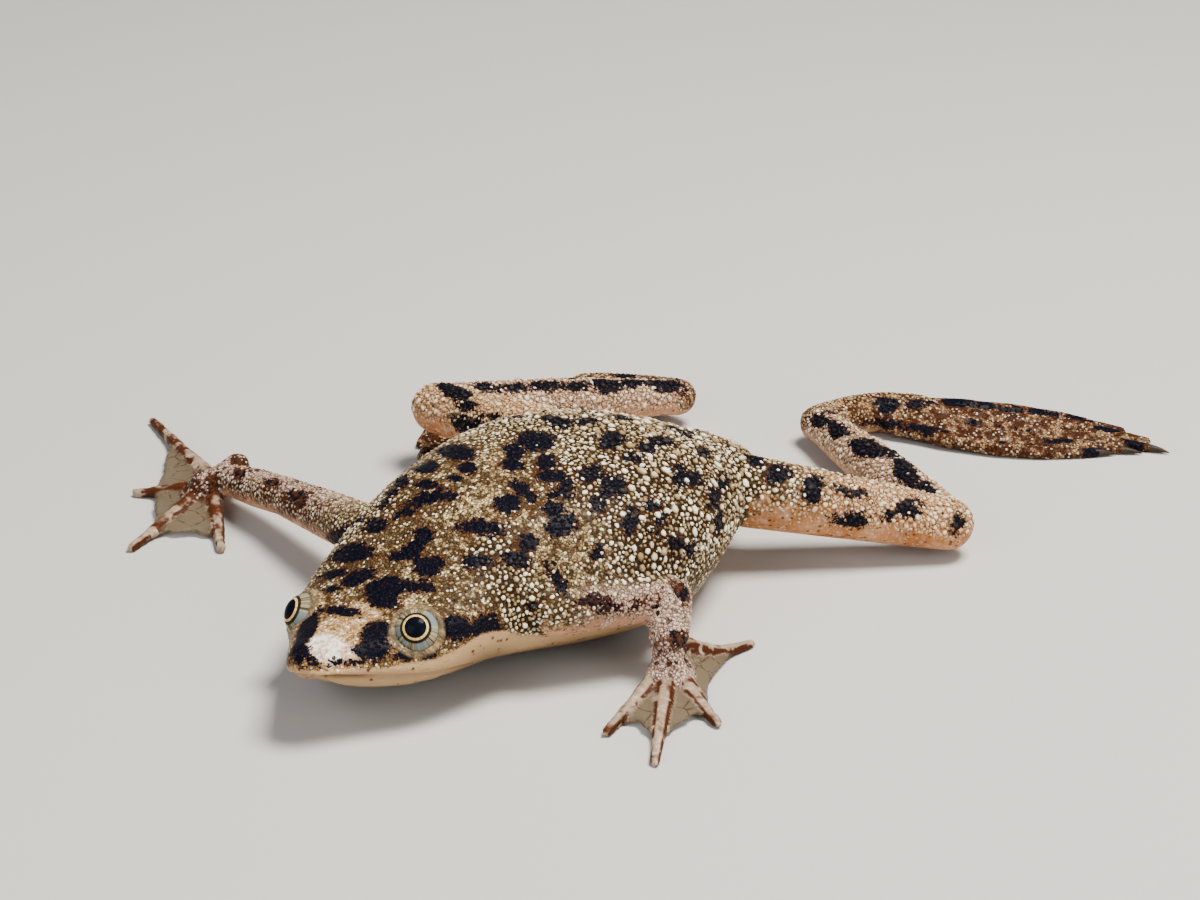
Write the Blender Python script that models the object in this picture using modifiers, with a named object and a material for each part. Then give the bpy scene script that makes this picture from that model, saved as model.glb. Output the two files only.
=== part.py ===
"""African dwarf frog lying on a level floor, head turned to its left, near hind foot trailing.

Every size below is in millimetres. The frog looks along -Y, its left side is +X and the
floor is z = 0, with the origin under the middle of the belly's flat. The body is a loft of
flattened sections along a spine that bends at the neck. Arms and legs are tapered tubes
between named joints, hands and feet are fans of fingers or toes with webs between them.
"""

import math

import bmesh
import bpy
import numpy as np
from mathutils import Matrix, Vector

MM = 0.001

# Clearance between neighbouring pieces
GAP = 0.3

# Body: length from snout to vent, where the vent lies, turn and roll of the head in degrees
BODY_LENGTH = 36.0
VENT_Y = 11.0
HEAD_TURN = 20.0
HEAD_ROLL = 8.5
TURN_FROM = 22.0
TURN_TO = 5.0
ROLL_FROM = 16.0
ROLL_TO = 6.0
ROLL_HEIGHT = 4.0
SECTION_POWER = 2.25

# Body sections: distance from the snout, half width, height of the widest line, top, underside
SECTIONS = (
    (0.0, 0.0, 4.7, 4.7, 4.7),
    (0.3, 0.9, 4.7, 5.15, 4.2),
    (1.1, 1.7, 4.5, 5.45, 3.5),
    (2.8, 2.95, 4.15, 5.65, 2.65),
    (5.0, 4.6, 3.85, 5.85, 1.75),
    (8.0, 6.2, 3.8, 6.9, 1.15),
    (11.0, 6.8, 4.0, 8.4, 0.9),
    (14.0, 7.5, 4.3, 9.8, 0.55),
    (18.0, 8.75, 4.7, 10.6, 0.1),
    (22.0, 9.3, 5.0, 10.8, -0.25),
    (26.0, 8.3, 5.2, 10.4, -0.25),
    (29.5, 6.2, 5.4, 9.3, 0.5),
    (32.5, 4.1, 5.3, 7.9, 1.9),
    (34.8, 2.3, 5.2, 6.8, 3.4),
    (35.7, 1.2, 5.2, 6.0, 4.3),
    (36.0, 0.0, 5.2, 5.2, 5.2),
)
NECK = 10.4

# Mouth: height of its line at the snout and how much it falls towards the jaw corner
MOUTH_HEIGHT = 3.85
MOUTH_FALL = 0.035
LIP_RADIUS = 0.34
LIP_RISE = 0.4

# Eyes: where the pupil lies, the way it looks (side, forward, up) and the sizes
EYE_AT = 5.5
EYE_SIDE = 4.3
EYE_HEIGHT = 5.65
EYE_LOOK = (0.5, 0.38, 0.78)
EYE_RADIUS = 1.35
LID_RING = 1.62
LID_RADIUS = 0.5
LID_RISE = 0.3

# Nostrils
NOSTRIL_AT = 0.95
NOSTRIL_SIDE = 0.75
NOSTRIL_RADIUS = 0.28

# Arm joints and radii
SHOULDER = {"left": (7.0, -9.6, 4.7), "right": (-6.4, -11.5, 4.4)}
ELBOW = {"left": (9.9, -3.0, 4.4), "right": (-17.3, -11.1, 2.8)}
WRIST = {"left": (11.75, -4.65, 1.8), "right": (-24.0, -11.4, 1.6)}
UPPER_ARM_RADII = (1.7, 1.5, 1.25)
FOREARM_RADII = (1.25, 1.2, 0.9)

# Fingers: inner to outer, root and tip on the floor plan
FINGERS = {
    "left": (
        ((11.5, -5.0, 1.0), (13.9, -10.7)),
        ((12.1, -4.95, 1.0), (18.0, -10.6)),
        ((12.1, -4.3, 1.0), (16.9, -5.3)),
        ((11.0, -2.7, 1.7), (11.0, 2.1)),
    ),
    "right": (
        ((-23.4, -12.4, 0.95), (-17.9, -15.4)),
        ((-24.2, -12.9, 0.95), (-21.4, -19.6)),
        ((-24.9, -12.4, 0.95), (-27.9, -15.4)),
        ((-24.9, -11.3, 1.0), (-36.6, -8.9)),
    ),
}
FINGER_RADII = (0.62, 0.5, 0.34)
PALM_RADIUS = 1.25
HAND_WEB_REACH = 0.55

# Leg joints and radii
HIP = {"left": (1.6, 7.2, 5.2), "right": (-3.4, 6.4, 4.8)}
KNEE = {"left": (9.3, 19.0, 2.1), "right": (-19.8, 2.1, 4.1)}
ANKLE = {"left": (-7.35, 23.4, 1.5), "right": (-15.4, 18.2, 2.0)}
THIGH_RADII = (2.3, 2.0, 1.65)
SHIN_RADII = (1.6, 1.6, 1.15)

# Feet: middle line on the floor plan from the ankle to the longest toe, and its height
FOOT_LINE = {
    "left": (
        (-7.35, 23.4, 1.5),
        (-7.4, 25.6, 1.35),
        (-6.8, 28.3, 1.15),
        (-4.85, 30.5, 0.95),
        (-2.15, 32.7, 0.8),
        (1.25, 35.6, 0.7),
        (3.95, 37.9, 0.6),
        (6.6, 39.55, 0.45),
    ),
    "right": (
        (-15.4, 18.2, 2.0),
        (-18.3, 17.4, 1.4),
        (-20.9, 15.4, 1.1),
        (-22.3, 12.2, 0.9),
        (-22.6, 8.8, 0.75),
        (-21.8, 5.2, 0.6),
        (-20.2, 1.8, 0.45),
    ),
}
TARSUS_END = 0.27
TARSUS_RADII = (1.2, 1.25, 1.35)
TOE_SPACING = (0.75, 1.35, 1.45, 0.95)
TOE_LENGTHS = (0.86, 0.93, 1.0, 0.98, 0.9)
TOE_RADII = (0.6, 0.5, 0.32)
FOOT_WEB_REACH = 0.9

WEB_THICKNESS = 0.5
FLOOR_SINK = 0.06

# Claws of the three inner toes
CLAW_LENGTH = 0.8
CLAW_RADIUS = 0.26
CLAW_CLEARANCE = 0.2

# Counts of rings and sides
BODY_SIDES = 40
HEAD_RINGS = 17
TORSO_RINGS = 22
LIMB_SIDES = 14
FINGER_SIDES = 8


# Collections and materials

for old in list(bpy.data.objects):
    bpy.data.objects.remove(old, do_unlink=True)

frog = bpy.data.collections.new("african_dwarf_frog")
bpy.context.scene.collection.children.link(frog)
cutters = bpy.data.collections.new("cutters")
bpy.context.scene.collection.children.link(cutters)


def material(name, colour, roughness):
    """A plain Principled material."""
    made = bpy.data.materials.new(name)
    made.use_nodes = True
    shader = made.node_tree.nodes["Principled BSDF"]
    shader.inputs["Base Color"].default_value = (*colour, 1.0)
    shader.inputs["Roughness"].default_value = roughness
    shader.inputs["Metallic"].default_value = 0.0
    return made


SKIN = material("speckled_skin", (0.36, 0.29, 0.19), 0.45)
BELLY_SKIN = material("pale_skin", (0.72, 0.58, 0.45), 0.45)
WEB_SKIN = material("limb_skin", (0.46, 0.34, 0.24), 0.45)
EYE = material("eye", (0.03, 0.025, 0.02), 0.08)
CLAW = material("claw", (0.03, 0.02, 0.015), 0.35)


# Curves and sections

def smooth(t, keys):
    """Cubic curve through rows of keys, whose first column is the parameter."""
    keys = np.asarray(keys, float)
    knot, value = keys[:, 0], keys[:, 1:]
    step = np.diff(knot)
    slope = np.diff(value, axis=0) / step[:, None]
    tangent = np.empty_like(value)
    tangent[1:-1] = slope[:-1] * step[1:, None] + slope[1:] * step[:-1, None]
    tangent[1:-1] /= (step[1:] + step[:-1])[:, None]
    tangent[0], tangent[-1] = slope[0], slope[-1]
    t = np.atleast_1d(np.asarray(t, float))
    i = np.clip(np.searchsorted(knot, t, "right") - 1, 0, len(step) - 1)
    h = step[i][:, None]
    u = ((t - knot[i]) / step[i])[:, None]
    return (
        (2 * u**3 - 3 * u**2 + 1) * value[i]
        + (u**3 - 2 * u**2 + u) * h * tangent[i]
        + (-2 * u**3 + 3 * u**2) * value[i + 1]
        + (u**3 - u**2) * h * tangent[i + 1]
    )


def ease(x):
    """0 below 0, 1 above 1, smooth between."""
    x = np.clip(x, 0.0, 1.0)
    return x * x * (3.0 - 2.0 * x)


def spine(t):
    """Point on the floor plan, heading and roll at distance t behind the snout."""
    s = np.linspace(0.0, BODY_LENGTH, 721)
    turn = math.radians(HEAD_TURN) * ease((TURN_FROM - s) / (TURN_FROM - TURN_TO))
    ds = s[1] - s[0]
    dx, dy = np.sin(turn) * ds, -np.cos(turn) * ds
    x = np.append(np.cumsum(((dx[1:] + dx[:-1]) / 2)[::-1])[::-1], 0.0)
    y = np.append(np.cumsum(((dy[1:] + dy[:-1]) / 2)[::-1])[::-1], 0.0) + VENT_Y
    roll = math.radians(HEAD_ROLL) * ease((ROLL_FROM - t) / (ROLL_FROM - ROLL_TO))
    return np.interp(t, s, x), np.interp(t, s, y), np.interp(t, s, turn), roll


def axes(t):
    """Side, forward and up of the body at t."""
    _, _, h, r = spine(t)
    side = Vector((math.cos(h) * math.cos(r), math.sin(h) * math.cos(r), math.sin(r)))
    ahead = Vector((math.sin(h), -math.cos(h), 0.0))
    up = Vector((-math.cos(h) * math.sin(r), -math.sin(h) * math.sin(r), math.cos(r)))
    return side, ahead, up


def at(t, side, height):
    """Point of the body: t behind the snout, side to the left, height above the floor."""
    x, y, _, _ = spine(t)
    across, _, up = axes(t)
    return Vector((x, y, ROLL_HEIGHT)) + across * side + up * (height - ROLL_HEIGHT)


def half_width(t, height):
    """Half width of the body section at t and at that height, 0 outside it."""
    w, mid, top, low = smooth(t, SECTIONS)[0]
    reach = (top - mid) if height > mid else (mid - low)
    if reach <= 0:
        return 0.0
    rest = 1.0 - (abs(height - mid) / reach) ** SECTION_POWER
    return w * max(rest, 0.0) ** (1.0 / SECTION_POWER)


def surface_height(t, side):
    """Height of the upper skin at t and at that distance from the middle."""
    w, mid, top, _ = smooth(t, SECTIONS)[0]
    rest = 1.0 - (abs(side) / w) ** SECTION_POWER
    return mid + (top - mid) * max(rest, 0.0) ** (1.0 / SECTION_POWER)


# Mesh tools

def add(name, mesh, collection=frog, look=None):
    """An object of that mesh."""
    made = bpy.data.objects.new(name, mesh)
    collection.objects.link(made)
    if look is not None:
        mesh.materials.clear()
        mesh.materials.append(look)
    if collection is cutters:
        made.hide_render = True
        made.display_type = "WIRE"
    return made


def to_mesh(name, bm):
    """The finished bmesh as a mesh, faces outward."""
    bmesh.ops.recalc_face_normals(bm, faces=bm.faces[:])
    mesh = bpy.data.meshes.new(name)
    bm.to_mesh(mesh)
    bm.free()
    return mesh


def loft(name, rings, collection=frog, look=None):
    """A closed skin over rows of points; a row of one point is a tip, other ends are capped."""
    bm = bmesh.new()
    rows = [[bm.verts.new(Vector(p) * MM) for p in row] for row in rings]
    for a, b in zip(rows, rows[1:]):
        n = max(len(a), len(b))
        for i in range(n):
            j = (i + 1) % n
            if len(a) == 1:
                bm.faces.new((a[0], b[i], b[j]))
            elif len(b) == 1:
                bm.faces.new((a[i], b[0], a[j]))
            else:
                bm.faces.new((a[i], b[i], b[j], a[j]))
    for row in (rows[0], rows[-1]):
        if len(row) > 2:
            bm.faces.new(row)
    bmesh.ops.triangulate(bm, faces=bm.faces[:])
    return add(name, to_mesh(name, bm), collection, look)


def ring(centre, side, up, half, top, low, count, power=2.0):
    """One closed section, flattened or round."""
    points = []
    for k in range(count):
        angle = 2.0 * math.pi * k / count
        c = math.copysign(abs(math.cos(angle)) ** (2.0 / power), math.cos(angle))
        s = math.copysign(abs(math.sin(angle)) ** (2.0 / power), math.sin(angle))
        points.append(centre + side * (half * c) + up * ((top if s > 0 else low) * s))
    return points


def tube(name, points, radii, sides, collection=frog, look=None):
    """A tapered round tube through points: a bevelled curve, welded to a closed mesh."""
    curve = bpy.data.curves.new(name, "CURVE")
    curve.dimensions = "3D"
    curve.bevel_depth = MM
    curve.bevel_resolution = sides // 2 - 2
    curve.use_fill_caps = True
    line = curve.splines.new("POLY")
    line.points.add(len(points) - 1)
    for spot, p, r in zip(line.points, points, radii):
        spot.co = (p[0] * MM, p[1] * MM, p[2] * MM, 1.0)
        spot.radius = r
    guide = bpy.data.objects.new(name + "_guide", curve)
    cutters.objects.link(guide)
    bpy.context.view_layer.update()
    shape = guide.evaluated_get(bpy.context.evaluated_depsgraph_get())
    mesh = bpy.data.meshes.new_from_object(shape)
    bpy.data.objects.remove(guide, do_unlink=True)
    bm = bmesh.new()
    bm.from_mesh(mesh)
    bpy.data.meshes.remove(mesh)
    bmesh.ops.remove_doubles(bm, verts=bm.verts[:], dist=0.00001)
    bmesh.ops.triangulate(bm, faces=bm.faces[:])
    return add(name, to_mesh(name, bm), collection, look)


def tapered(a, b, radii, steps, bend=None):
    """Points and radii of a limb from a to b with rounded ends; bend moves its middle."""
    a, b = Vector(a), Vector(b)
    middle = (a + b) / 2 + (Vector(bend) if bend else Vector())
    keys = ((0.0, *a, radii[0]), (0.5, *middle, radii[1]), (1.0, *b, radii[2]))
    length = (b - a).length
    along = (b - a) / length
    inner = smooth(np.linspace(0.0, 1.0, steps), keys)
    points = [Vector(row[:3]) for row in inner]
    sizes = [row[3] for row in inner]
    for share, out in ((0.75, 0.66), (0.35, 0.94)):
        points.insert(0, a - along * radii[0] * out)
        sizes.insert(0, radii[0] * share)
        points.append(b + along * radii[2] * out)
        sizes.append(radii[2] * share)
    return points, sizes


def apply(body):
    """Turn the object's modifiers into plain mesh."""
    bpy.context.view_layer.update()
    shape = body.evaluated_get(bpy.context.evaluated_depsgraph_get())
    mesh = bpy.data.meshes.new_from_object(shape)
    old = body.data
    body.modifiers.clear()
    body.data = mesh
    bpy.data.meshes.remove(old)


def combine(body, other, how, solver="EXACT"):
    """Union with, or difference by, an object that is removed afterwards."""
    step = body.modifiers.new(how.lower(), "BOOLEAN")
    step.operation = how
    step.solver = solver
    step.object = other
    apply(body)
    bpy.data.objects.remove(other, do_unlink=True)


def join_all(body, pieces, solver="EXACT"):
    """One union of the body with a collection of closed pieces."""
    group = bpy.data.collections.new(body.name + "_pieces")
    bpy.context.scene.collection.children.link(group)
    for piece in pieces:
        for holder in list(piece.users_collection):
            holder.objects.unlink(piece)
        group.objects.link(piece)
    step = body.modifiers.new("union", "BOOLEAN")
    step.operation = "UNION"
    step.solver = solver
    step.operand_type = "COLLECTION"
    step.collection = group
    apply(body)
    for piece in list(group.objects):
        bpy.data.objects.remove(piece, do_unlink=True)
    bpy.data.collections.remove(group)


def slice_off(body, point, normal):
    """Remove what lies beyond a plane and close the cut."""
    bm = bmesh.new()
    bm.from_mesh(body.data)
    bmesh.ops.bisect_plane(
        bm,
        geom=bm.verts[:] + bm.edges[:] + bm.faces[:],
        dist=0.0000005,
        plane_co=Vector(point) * MM,
        plane_no=Vector(normal),
        clear_outer=True,
    )
    rim = [e for e in bm.edges if e.is_boundary]
    if rim:
        bmesh.ops.triangle_fill(bm, edges=rim, use_beauty=True)
    bmesh.ops.triangulate(bm, faces=bm.faces[:])
    bmesh.ops.recalc_face_normals(bm, faces=bm.faces[:])
    bm.to_mesh(body.data)
    bm.free()


def keep_largest(body):
    """Weld what nearly meets and keep only the largest closed surface."""
    bm = bmesh.new()
    bm.from_mesh(body.data)
    bmesh.ops.remove_doubles(bm, verts=bm.verts[:], dist=0.000004)
    bmesh.ops.dissolve_degenerate(bm, edges=bm.edges[:], dist=0.000004)
    bmesh.ops.triangulate(bm, faces=bm.faces[:])
    left = set(bm.verts)
    groups = []
    while left:
        seed = left.pop()
        group, front = {seed}, [seed]
        while front:
            for edge in front.pop().link_edges:
                for v in edge.verts:
                    if v in left:
                        left.discard(v)
                        group.add(v)
                        front.append(v)
        groups.append(group)
    groups.sort(key=len, reverse=True)
    for group in groups[1:]:
        bmesh.ops.delete(bm, geom=list(group), context="VERTS")
    bmesh.ops.recalc_face_normals(bm, faces=bm.faces[:])
    bm.to_mesh(body.data)
    bm.free()


def finish(body, look, angle=40.0):
    """Material, smooth shading and one closed surface."""
    keep_largest(body)
    body.data.materials.clear()
    body.data.materials.append(look)
    body.data.shade_smooth()
    body.data.set_sharp_from_angle(angle=math.radians(angle))


# Body loft

def body_rings(stations, grow=0.0):
    """Sections of the trunk and head at the stations, widened by grow."""
    rows = []
    for t in stations:
        w, mid, top, low = smooth(t, SECTIONS)[0]
        x, y, _, _ = spine(t)
        side, _, up = axes(t)
        centre = Vector((x, y, ROLL_HEIGHT)) + up * (mid - ROLL_HEIGHT)
        if w < 0.05 and grow == 0.0:
            rows.append([centre])
        else:
            w, top, low = max(w, 0.0) + grow, top - mid + grow, mid - low + grow
            rows.append(ring(centre, side, up, w, top, low, BODY_SIDES, SECTION_POWER))
    return rows


def body_stations():
    """Distances from the snout, closer together at the rounded ends."""
    front = NECK * (1.0 - np.cos(np.linspace(0.0, math.pi / 2, HEAD_RINGS)))
    back = NECK + (BODY_LENGTH - NECK) * np.sin(np.linspace(0.0, math.pi / 2, TORSO_RINGS))
    return np.concatenate((front, back[1:]))


def grown_body(name):
    """The trunk widened by the clearance, for cutting the limbs."""
    return loft(name, body_rings(body_stations(), GAP), cutters)


neck_point = at(NECK, 0.0, ROLL_HEIGHT)
neck_ahead = axes(NECK)[1]

torso = loft("torso", body_rings(body_stations()))
slice_off(torso, neck_point - neck_ahead * GAP / 2, neck_ahead)
slice_off(torso, (0.0, 0.0, 0.0), (0.0, 0.0, -1.0))
finish(torso, SKIN)


# Head with lips, lids and nostrils

def mouth_line(rise, inset):
    """Points round the snout, on the skin, rise above or below the line of the mouth."""
    def height(t):
        return MOUTH_HEIGHT - MOUTH_FALL * t + rise

    start = next(t for t in np.arange(0.0, 4.0, 0.02) if half_width(t, height(t)) > 0.55)
    stations = start + (NECK - 1.0 - start) * np.linspace(0.0, 1.0, 12) ** 1.5
    left = [(t, half_width(t, height(t)) - inset) for t in stations]
    line = [at(t, w, height(t)) for t, w in reversed(left)]
    line += [at(t, -w, height(t)) for t, w in left]
    return line


mouth_point = at(0.0, 0.0, MOUTH_HEIGHT)
mouth_up = axes(4.0)[2] + axes(4.0)[1] * -MOUTH_FALL

head = loft("head", body_rings(body_stations()))
slice_off(head, neck_point + neck_ahead * GAP / 2, -neck_ahead)
lower_jaw = add("lower_jaw", head.data.copy())

pieces = []
sockets = []
for name, sign in (("left", 1.0), ("right", -1.0)):
    side, ahead, up = axes(EYE_AT)
    look = (side * sign * EYE_LOOK[0] + ahead * EYE_LOOK[1] + up * EYE_LOOK[2]).normalized()
    pupil = at(EYE_AT, sign * EYE_SIDE, EYE_HEIGHT)
    centre = pupil - look * EYE_RADIUS * 0.82
    turn = look.to_track_quat("Z", "Y").to_matrix().to_4x4()

    bpy.ops.mesh.primitive_uv_sphere_add(segments=20, ring_count=12, radius=EYE_RADIUS * MM)
    eye = bpy.context.object
    eye.name = "eye_" + name
    eye.data.transform(Matrix.Translation(centre * MM) @ turn)
    for holder in list(eye.users_collection):
        holder.objects.unlink(eye)
    frog.objects.link(eye)
    eye.data.materials.append(EYE)
    eye.data.shade_smooth()

    bpy.ops.mesh.primitive_uv_sphere_add(
        segments=20, ring_count=12, radius=(EYE_RADIUS + GAP) * MM
    )
    socket = bpy.context.object
    socket.name = "socket_" + name
    socket.data.transform(Matrix.Translation(centre * MM) @ turn)
    sockets.append(socket)

    bpy.ops.mesh.primitive_torus_add(
        major_segments=22, minor_segments=8,
        major_radius=LID_RING * MM, minor_radius=LID_RADIUS * MM,
    )
    lid = bpy.context.object
    lid.name = "lid_" + name
    lid.data.transform(Matrix.Translation((centre + look * LID_RISE) * MM) @ turn)
    pieces.append(lid)

    nostril_top = surface_height(NOSTRIL_AT, NOSTRIL_SIDE)
    bpy.ops.mesh.primitive_uv_sphere_add(
        segments=8, ring_count=6, radius=NOSTRIL_RADIUS * MM,
        location=at(NOSTRIL_AT, sign * NOSTRIL_SIDE, nostril_top) * MM,
    )
    sockets.append(bpy.context.object)

upper_line = mouth_line(LIP_RISE, LIP_RADIUS * 0.6)
lower_line = mouth_line(-LIP_RISE, LIP_RADIUS * 0.6)
lip_sizes = [LIP_RADIUS * (0.45 + 0.55 * math.sin(math.pi * (k + 0.5) / 24)) for k in range(24)]
pieces.append(tube("upper_lip", upper_line, lip_sizes, FINGER_SIDES))
join_all(head, pieces)
join_all(lower_jaw, [tube("lower_lip", lower_line, lip_sizes, FINGER_SIDES)])
for socket in sockets:
    if socket.name.startswith("socket"):
        combine(lower_jaw, add("jaw_cutter", socket.data.copy(), cutters), "DIFFERENCE")
    combine(head, socket, "DIFFERENCE")
slice_off(head, mouth_point + mouth_up * GAP / 2, -mouth_up)
slice_off(lower_jaw, mouth_point - mouth_up * GAP / 2, mouth_up)
finish(head, SKIN)
finish(lower_jaw, BELLY_SKIN)


# Arms and legs

def parting(body, joint, incoming, outgoing, keep_before):
    """Cut a limb piece at a joint, on the plane that halves the bend, leaving the gap."""
    normal = incoming.normalized() + outgoing.normalized()
    normal.normalize()
    if keep_before:
        slice_off(body, Vector(joint) - normal * GAP / 2, normal)
    else:
        slice_off(body, Vector(joint) + normal * GAP / 2, -normal)


def limb(name, a, b, radii, look, steps=7, bend=None):
    """A tapered limb piece, flattened where it reaches the floor."""
    points, sizes = tapered(a, b, radii, steps, bend)
    made = tube(name, points, sizes, LIMB_SIDES)
    made.data.materials.append(look)
    return made


for name, sign in (("left", 1.0), ("right", -1.0)):
    shoulder, elbow, wrist = (Vector(j[name]) for j in (SHOULDER, ELBOW, WRIST))
    hand_way = Vector((*FINGERS[name][1][1], 0.4)) - wrist
    upper = limb("upper_arm_" + name, shoulder, elbow, UPPER_ARM_RADII, SKIN)
    fore = limb("forearm_" + name, elbow, wrist, FOREARM_RADII, SKIN)
    parting(upper, elbow, elbow - shoulder, wrist - elbow, True)
    parting(fore, elbow, elbow - shoulder, wrist - elbow, False)
    parting(fore, wrist, wrist - elbow, hand_way, True)
    combine(upper, grown_body("trunk_cutter"), "DIFFERENCE")
    combine(fore, grown_body("trunk_cutter"), "DIFFERENCE")
    for piece in (upper, fore):
        slice_off(piece, (0.0, 0.0, 0.0), (0.0, 0.0, -1.0))
        finish(piece, SKIN)

    hip, knee, ankle = (Vector(j[name]) for j in (HIP, KNEE, ANKLE))
    foot_way = Vector(FOOT_LINE[name][1]) - ankle
    thigh = limb("thigh_" + name, hip, knee, THIGH_RADII, SKIN)
    shin = limb("shin_" + name, knee, ankle, SHIN_RADII, SKIN, 9)
    parting(thigh, knee, knee - hip, ankle - knee, True)
    parting(shin, knee, knee - hip, ankle - knee, False)
    parting(shin, ankle, ankle - knee, foot_way, True)
    combine(thigh, grown_body("trunk_cutter"), "DIFFERENCE")
    for piece in (thigh, shin):
        slice_off(piece, (0.0, 0.0, 0.0), (0.0, 0.0, -1.0))
        finish(piece, SKIN)


# Webs, fingers and toes

def web(name, first, second, reach):
    """A sheet between two lines of points, its free edge scalloped, thickened evenly."""
    rows, columns = 6, 4
    bm = bmesh.new()
    grid = []
    for j in range(columns + 1):
        u = j / columns
        limit = reach + (1.0 - reach) * 0.55 * (2.0 * u - 1.0) ** 2
        column = []
        for i in range(rows + 1):
            v = 0.02 + (limit - 0.02) * i / rows
            a = smooth(v, first)[0]
            b = smooth(v, second)[0]
            p = a * (1.0 - u) + b * u
            column.append(bm.verts.new(Vector((p[0], p[1], p[2])) * MM))
        grid.append(column)
    for a, b in zip(grid, grid[1:]):
        for i in range(rows):
            bm.faces.new((a[i], a[i + 1], b[i + 1], b[i]))
    bmesh.ops.triangulate(bm, faces=bm.faces[:])
    mesh = to_mesh(name, bm)
    sheet = add(name, mesh)
    shell = sheet.modifiers.new("thickness", "SOLIDIFY")
    shell.thickness = WEB_THICKNESS * MM
    shell.offset = 0.0
    apply(sheet)
    return sheet


def digit(name, line, radii, steps):
    """A finger or toe along a line of keys, pressed flat on the floor."""
    share = np.linspace(0.0, 1.0, steps)
    row = smooth(share, line)
    size = smooth(share, ((0.0, radii[0]), (0.5, radii[1]), (1.0, radii[2])))[:, 0]
    points = [Vector(p) for p in row]
    tip_way = (points[-1] - points[-2]).normalized()
    points.append(points[-1] + tip_way * radii[2] * 0.8)
    sizes = list(size) + [radii[2] * 0.45]
    made = tube(name, points, sizes, FINGER_SIDES)
    slice_off(made, (0.0, 0.0, 0.0), (0.0, 0.0, -1.0))
    return made


for name, sign in (("left", 1.0), ("right", -1.0)):
    wrist, elbow = Vector(WRIST[name]), Vector(ELBOW[name])
    lines = []
    for root, tip in FINGERS[name]:
        start = Vector(root)
        end = Vector((*tip, FINGER_RADII[2] - FLOOR_SINK))
        middle = start.lerp(end, 0.5)
        middle.z = FINGER_RADII[1] + 0.1
        lines.append(((0.0, *start), (0.5, *middle), (1.0, *end)))
    palm_end = sum((Vector(line[0][1:]) for line in lines[:3]), Vector()) / 3
    palm_way = (palm_end - wrist).normalized()
    palm_points = [wrist - palm_way * 1.2, wrist, palm_end, palm_end + palm_way * 0.9]
    palm_sizes = [0.8, FOREARM_RADII[2], PALM_RADIUS, PALM_RADIUS * 0.6]
    hand = tube("hand_" + name, palm_points, palm_sizes, LIMB_SIDES)
    slice_off(hand, (0.0, 0.0, 0.0), (0.0, 0.0, -1.0))
    pieces = [digit("finger", line, FINGER_RADII, 6) for line in lines]
    pieces += [web("web", a, b, HAND_WEB_REACH) for a, b in zip(lines, lines[1:])]
    join_all(hand, pieces)
    hand_way = Vector((*FINGERS[name][1][1], 0.4)) - wrist
    parting(hand, wrist, wrist - elbow, hand_way, False)
    finish(hand, WEB_SKIN)


def foot_keys(name):
    """The foot's middle line as keys by share of its length."""
    points = [Vector(p) for p in FOOT_LINE[name]]
    steps = [0.0]
    for a, b in zip(points, points[1:]):
        steps.append(steps[-1] + (b - a).length)
    return [(s / steps[-1], *p) for s, p in zip(steps, points)]


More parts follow.
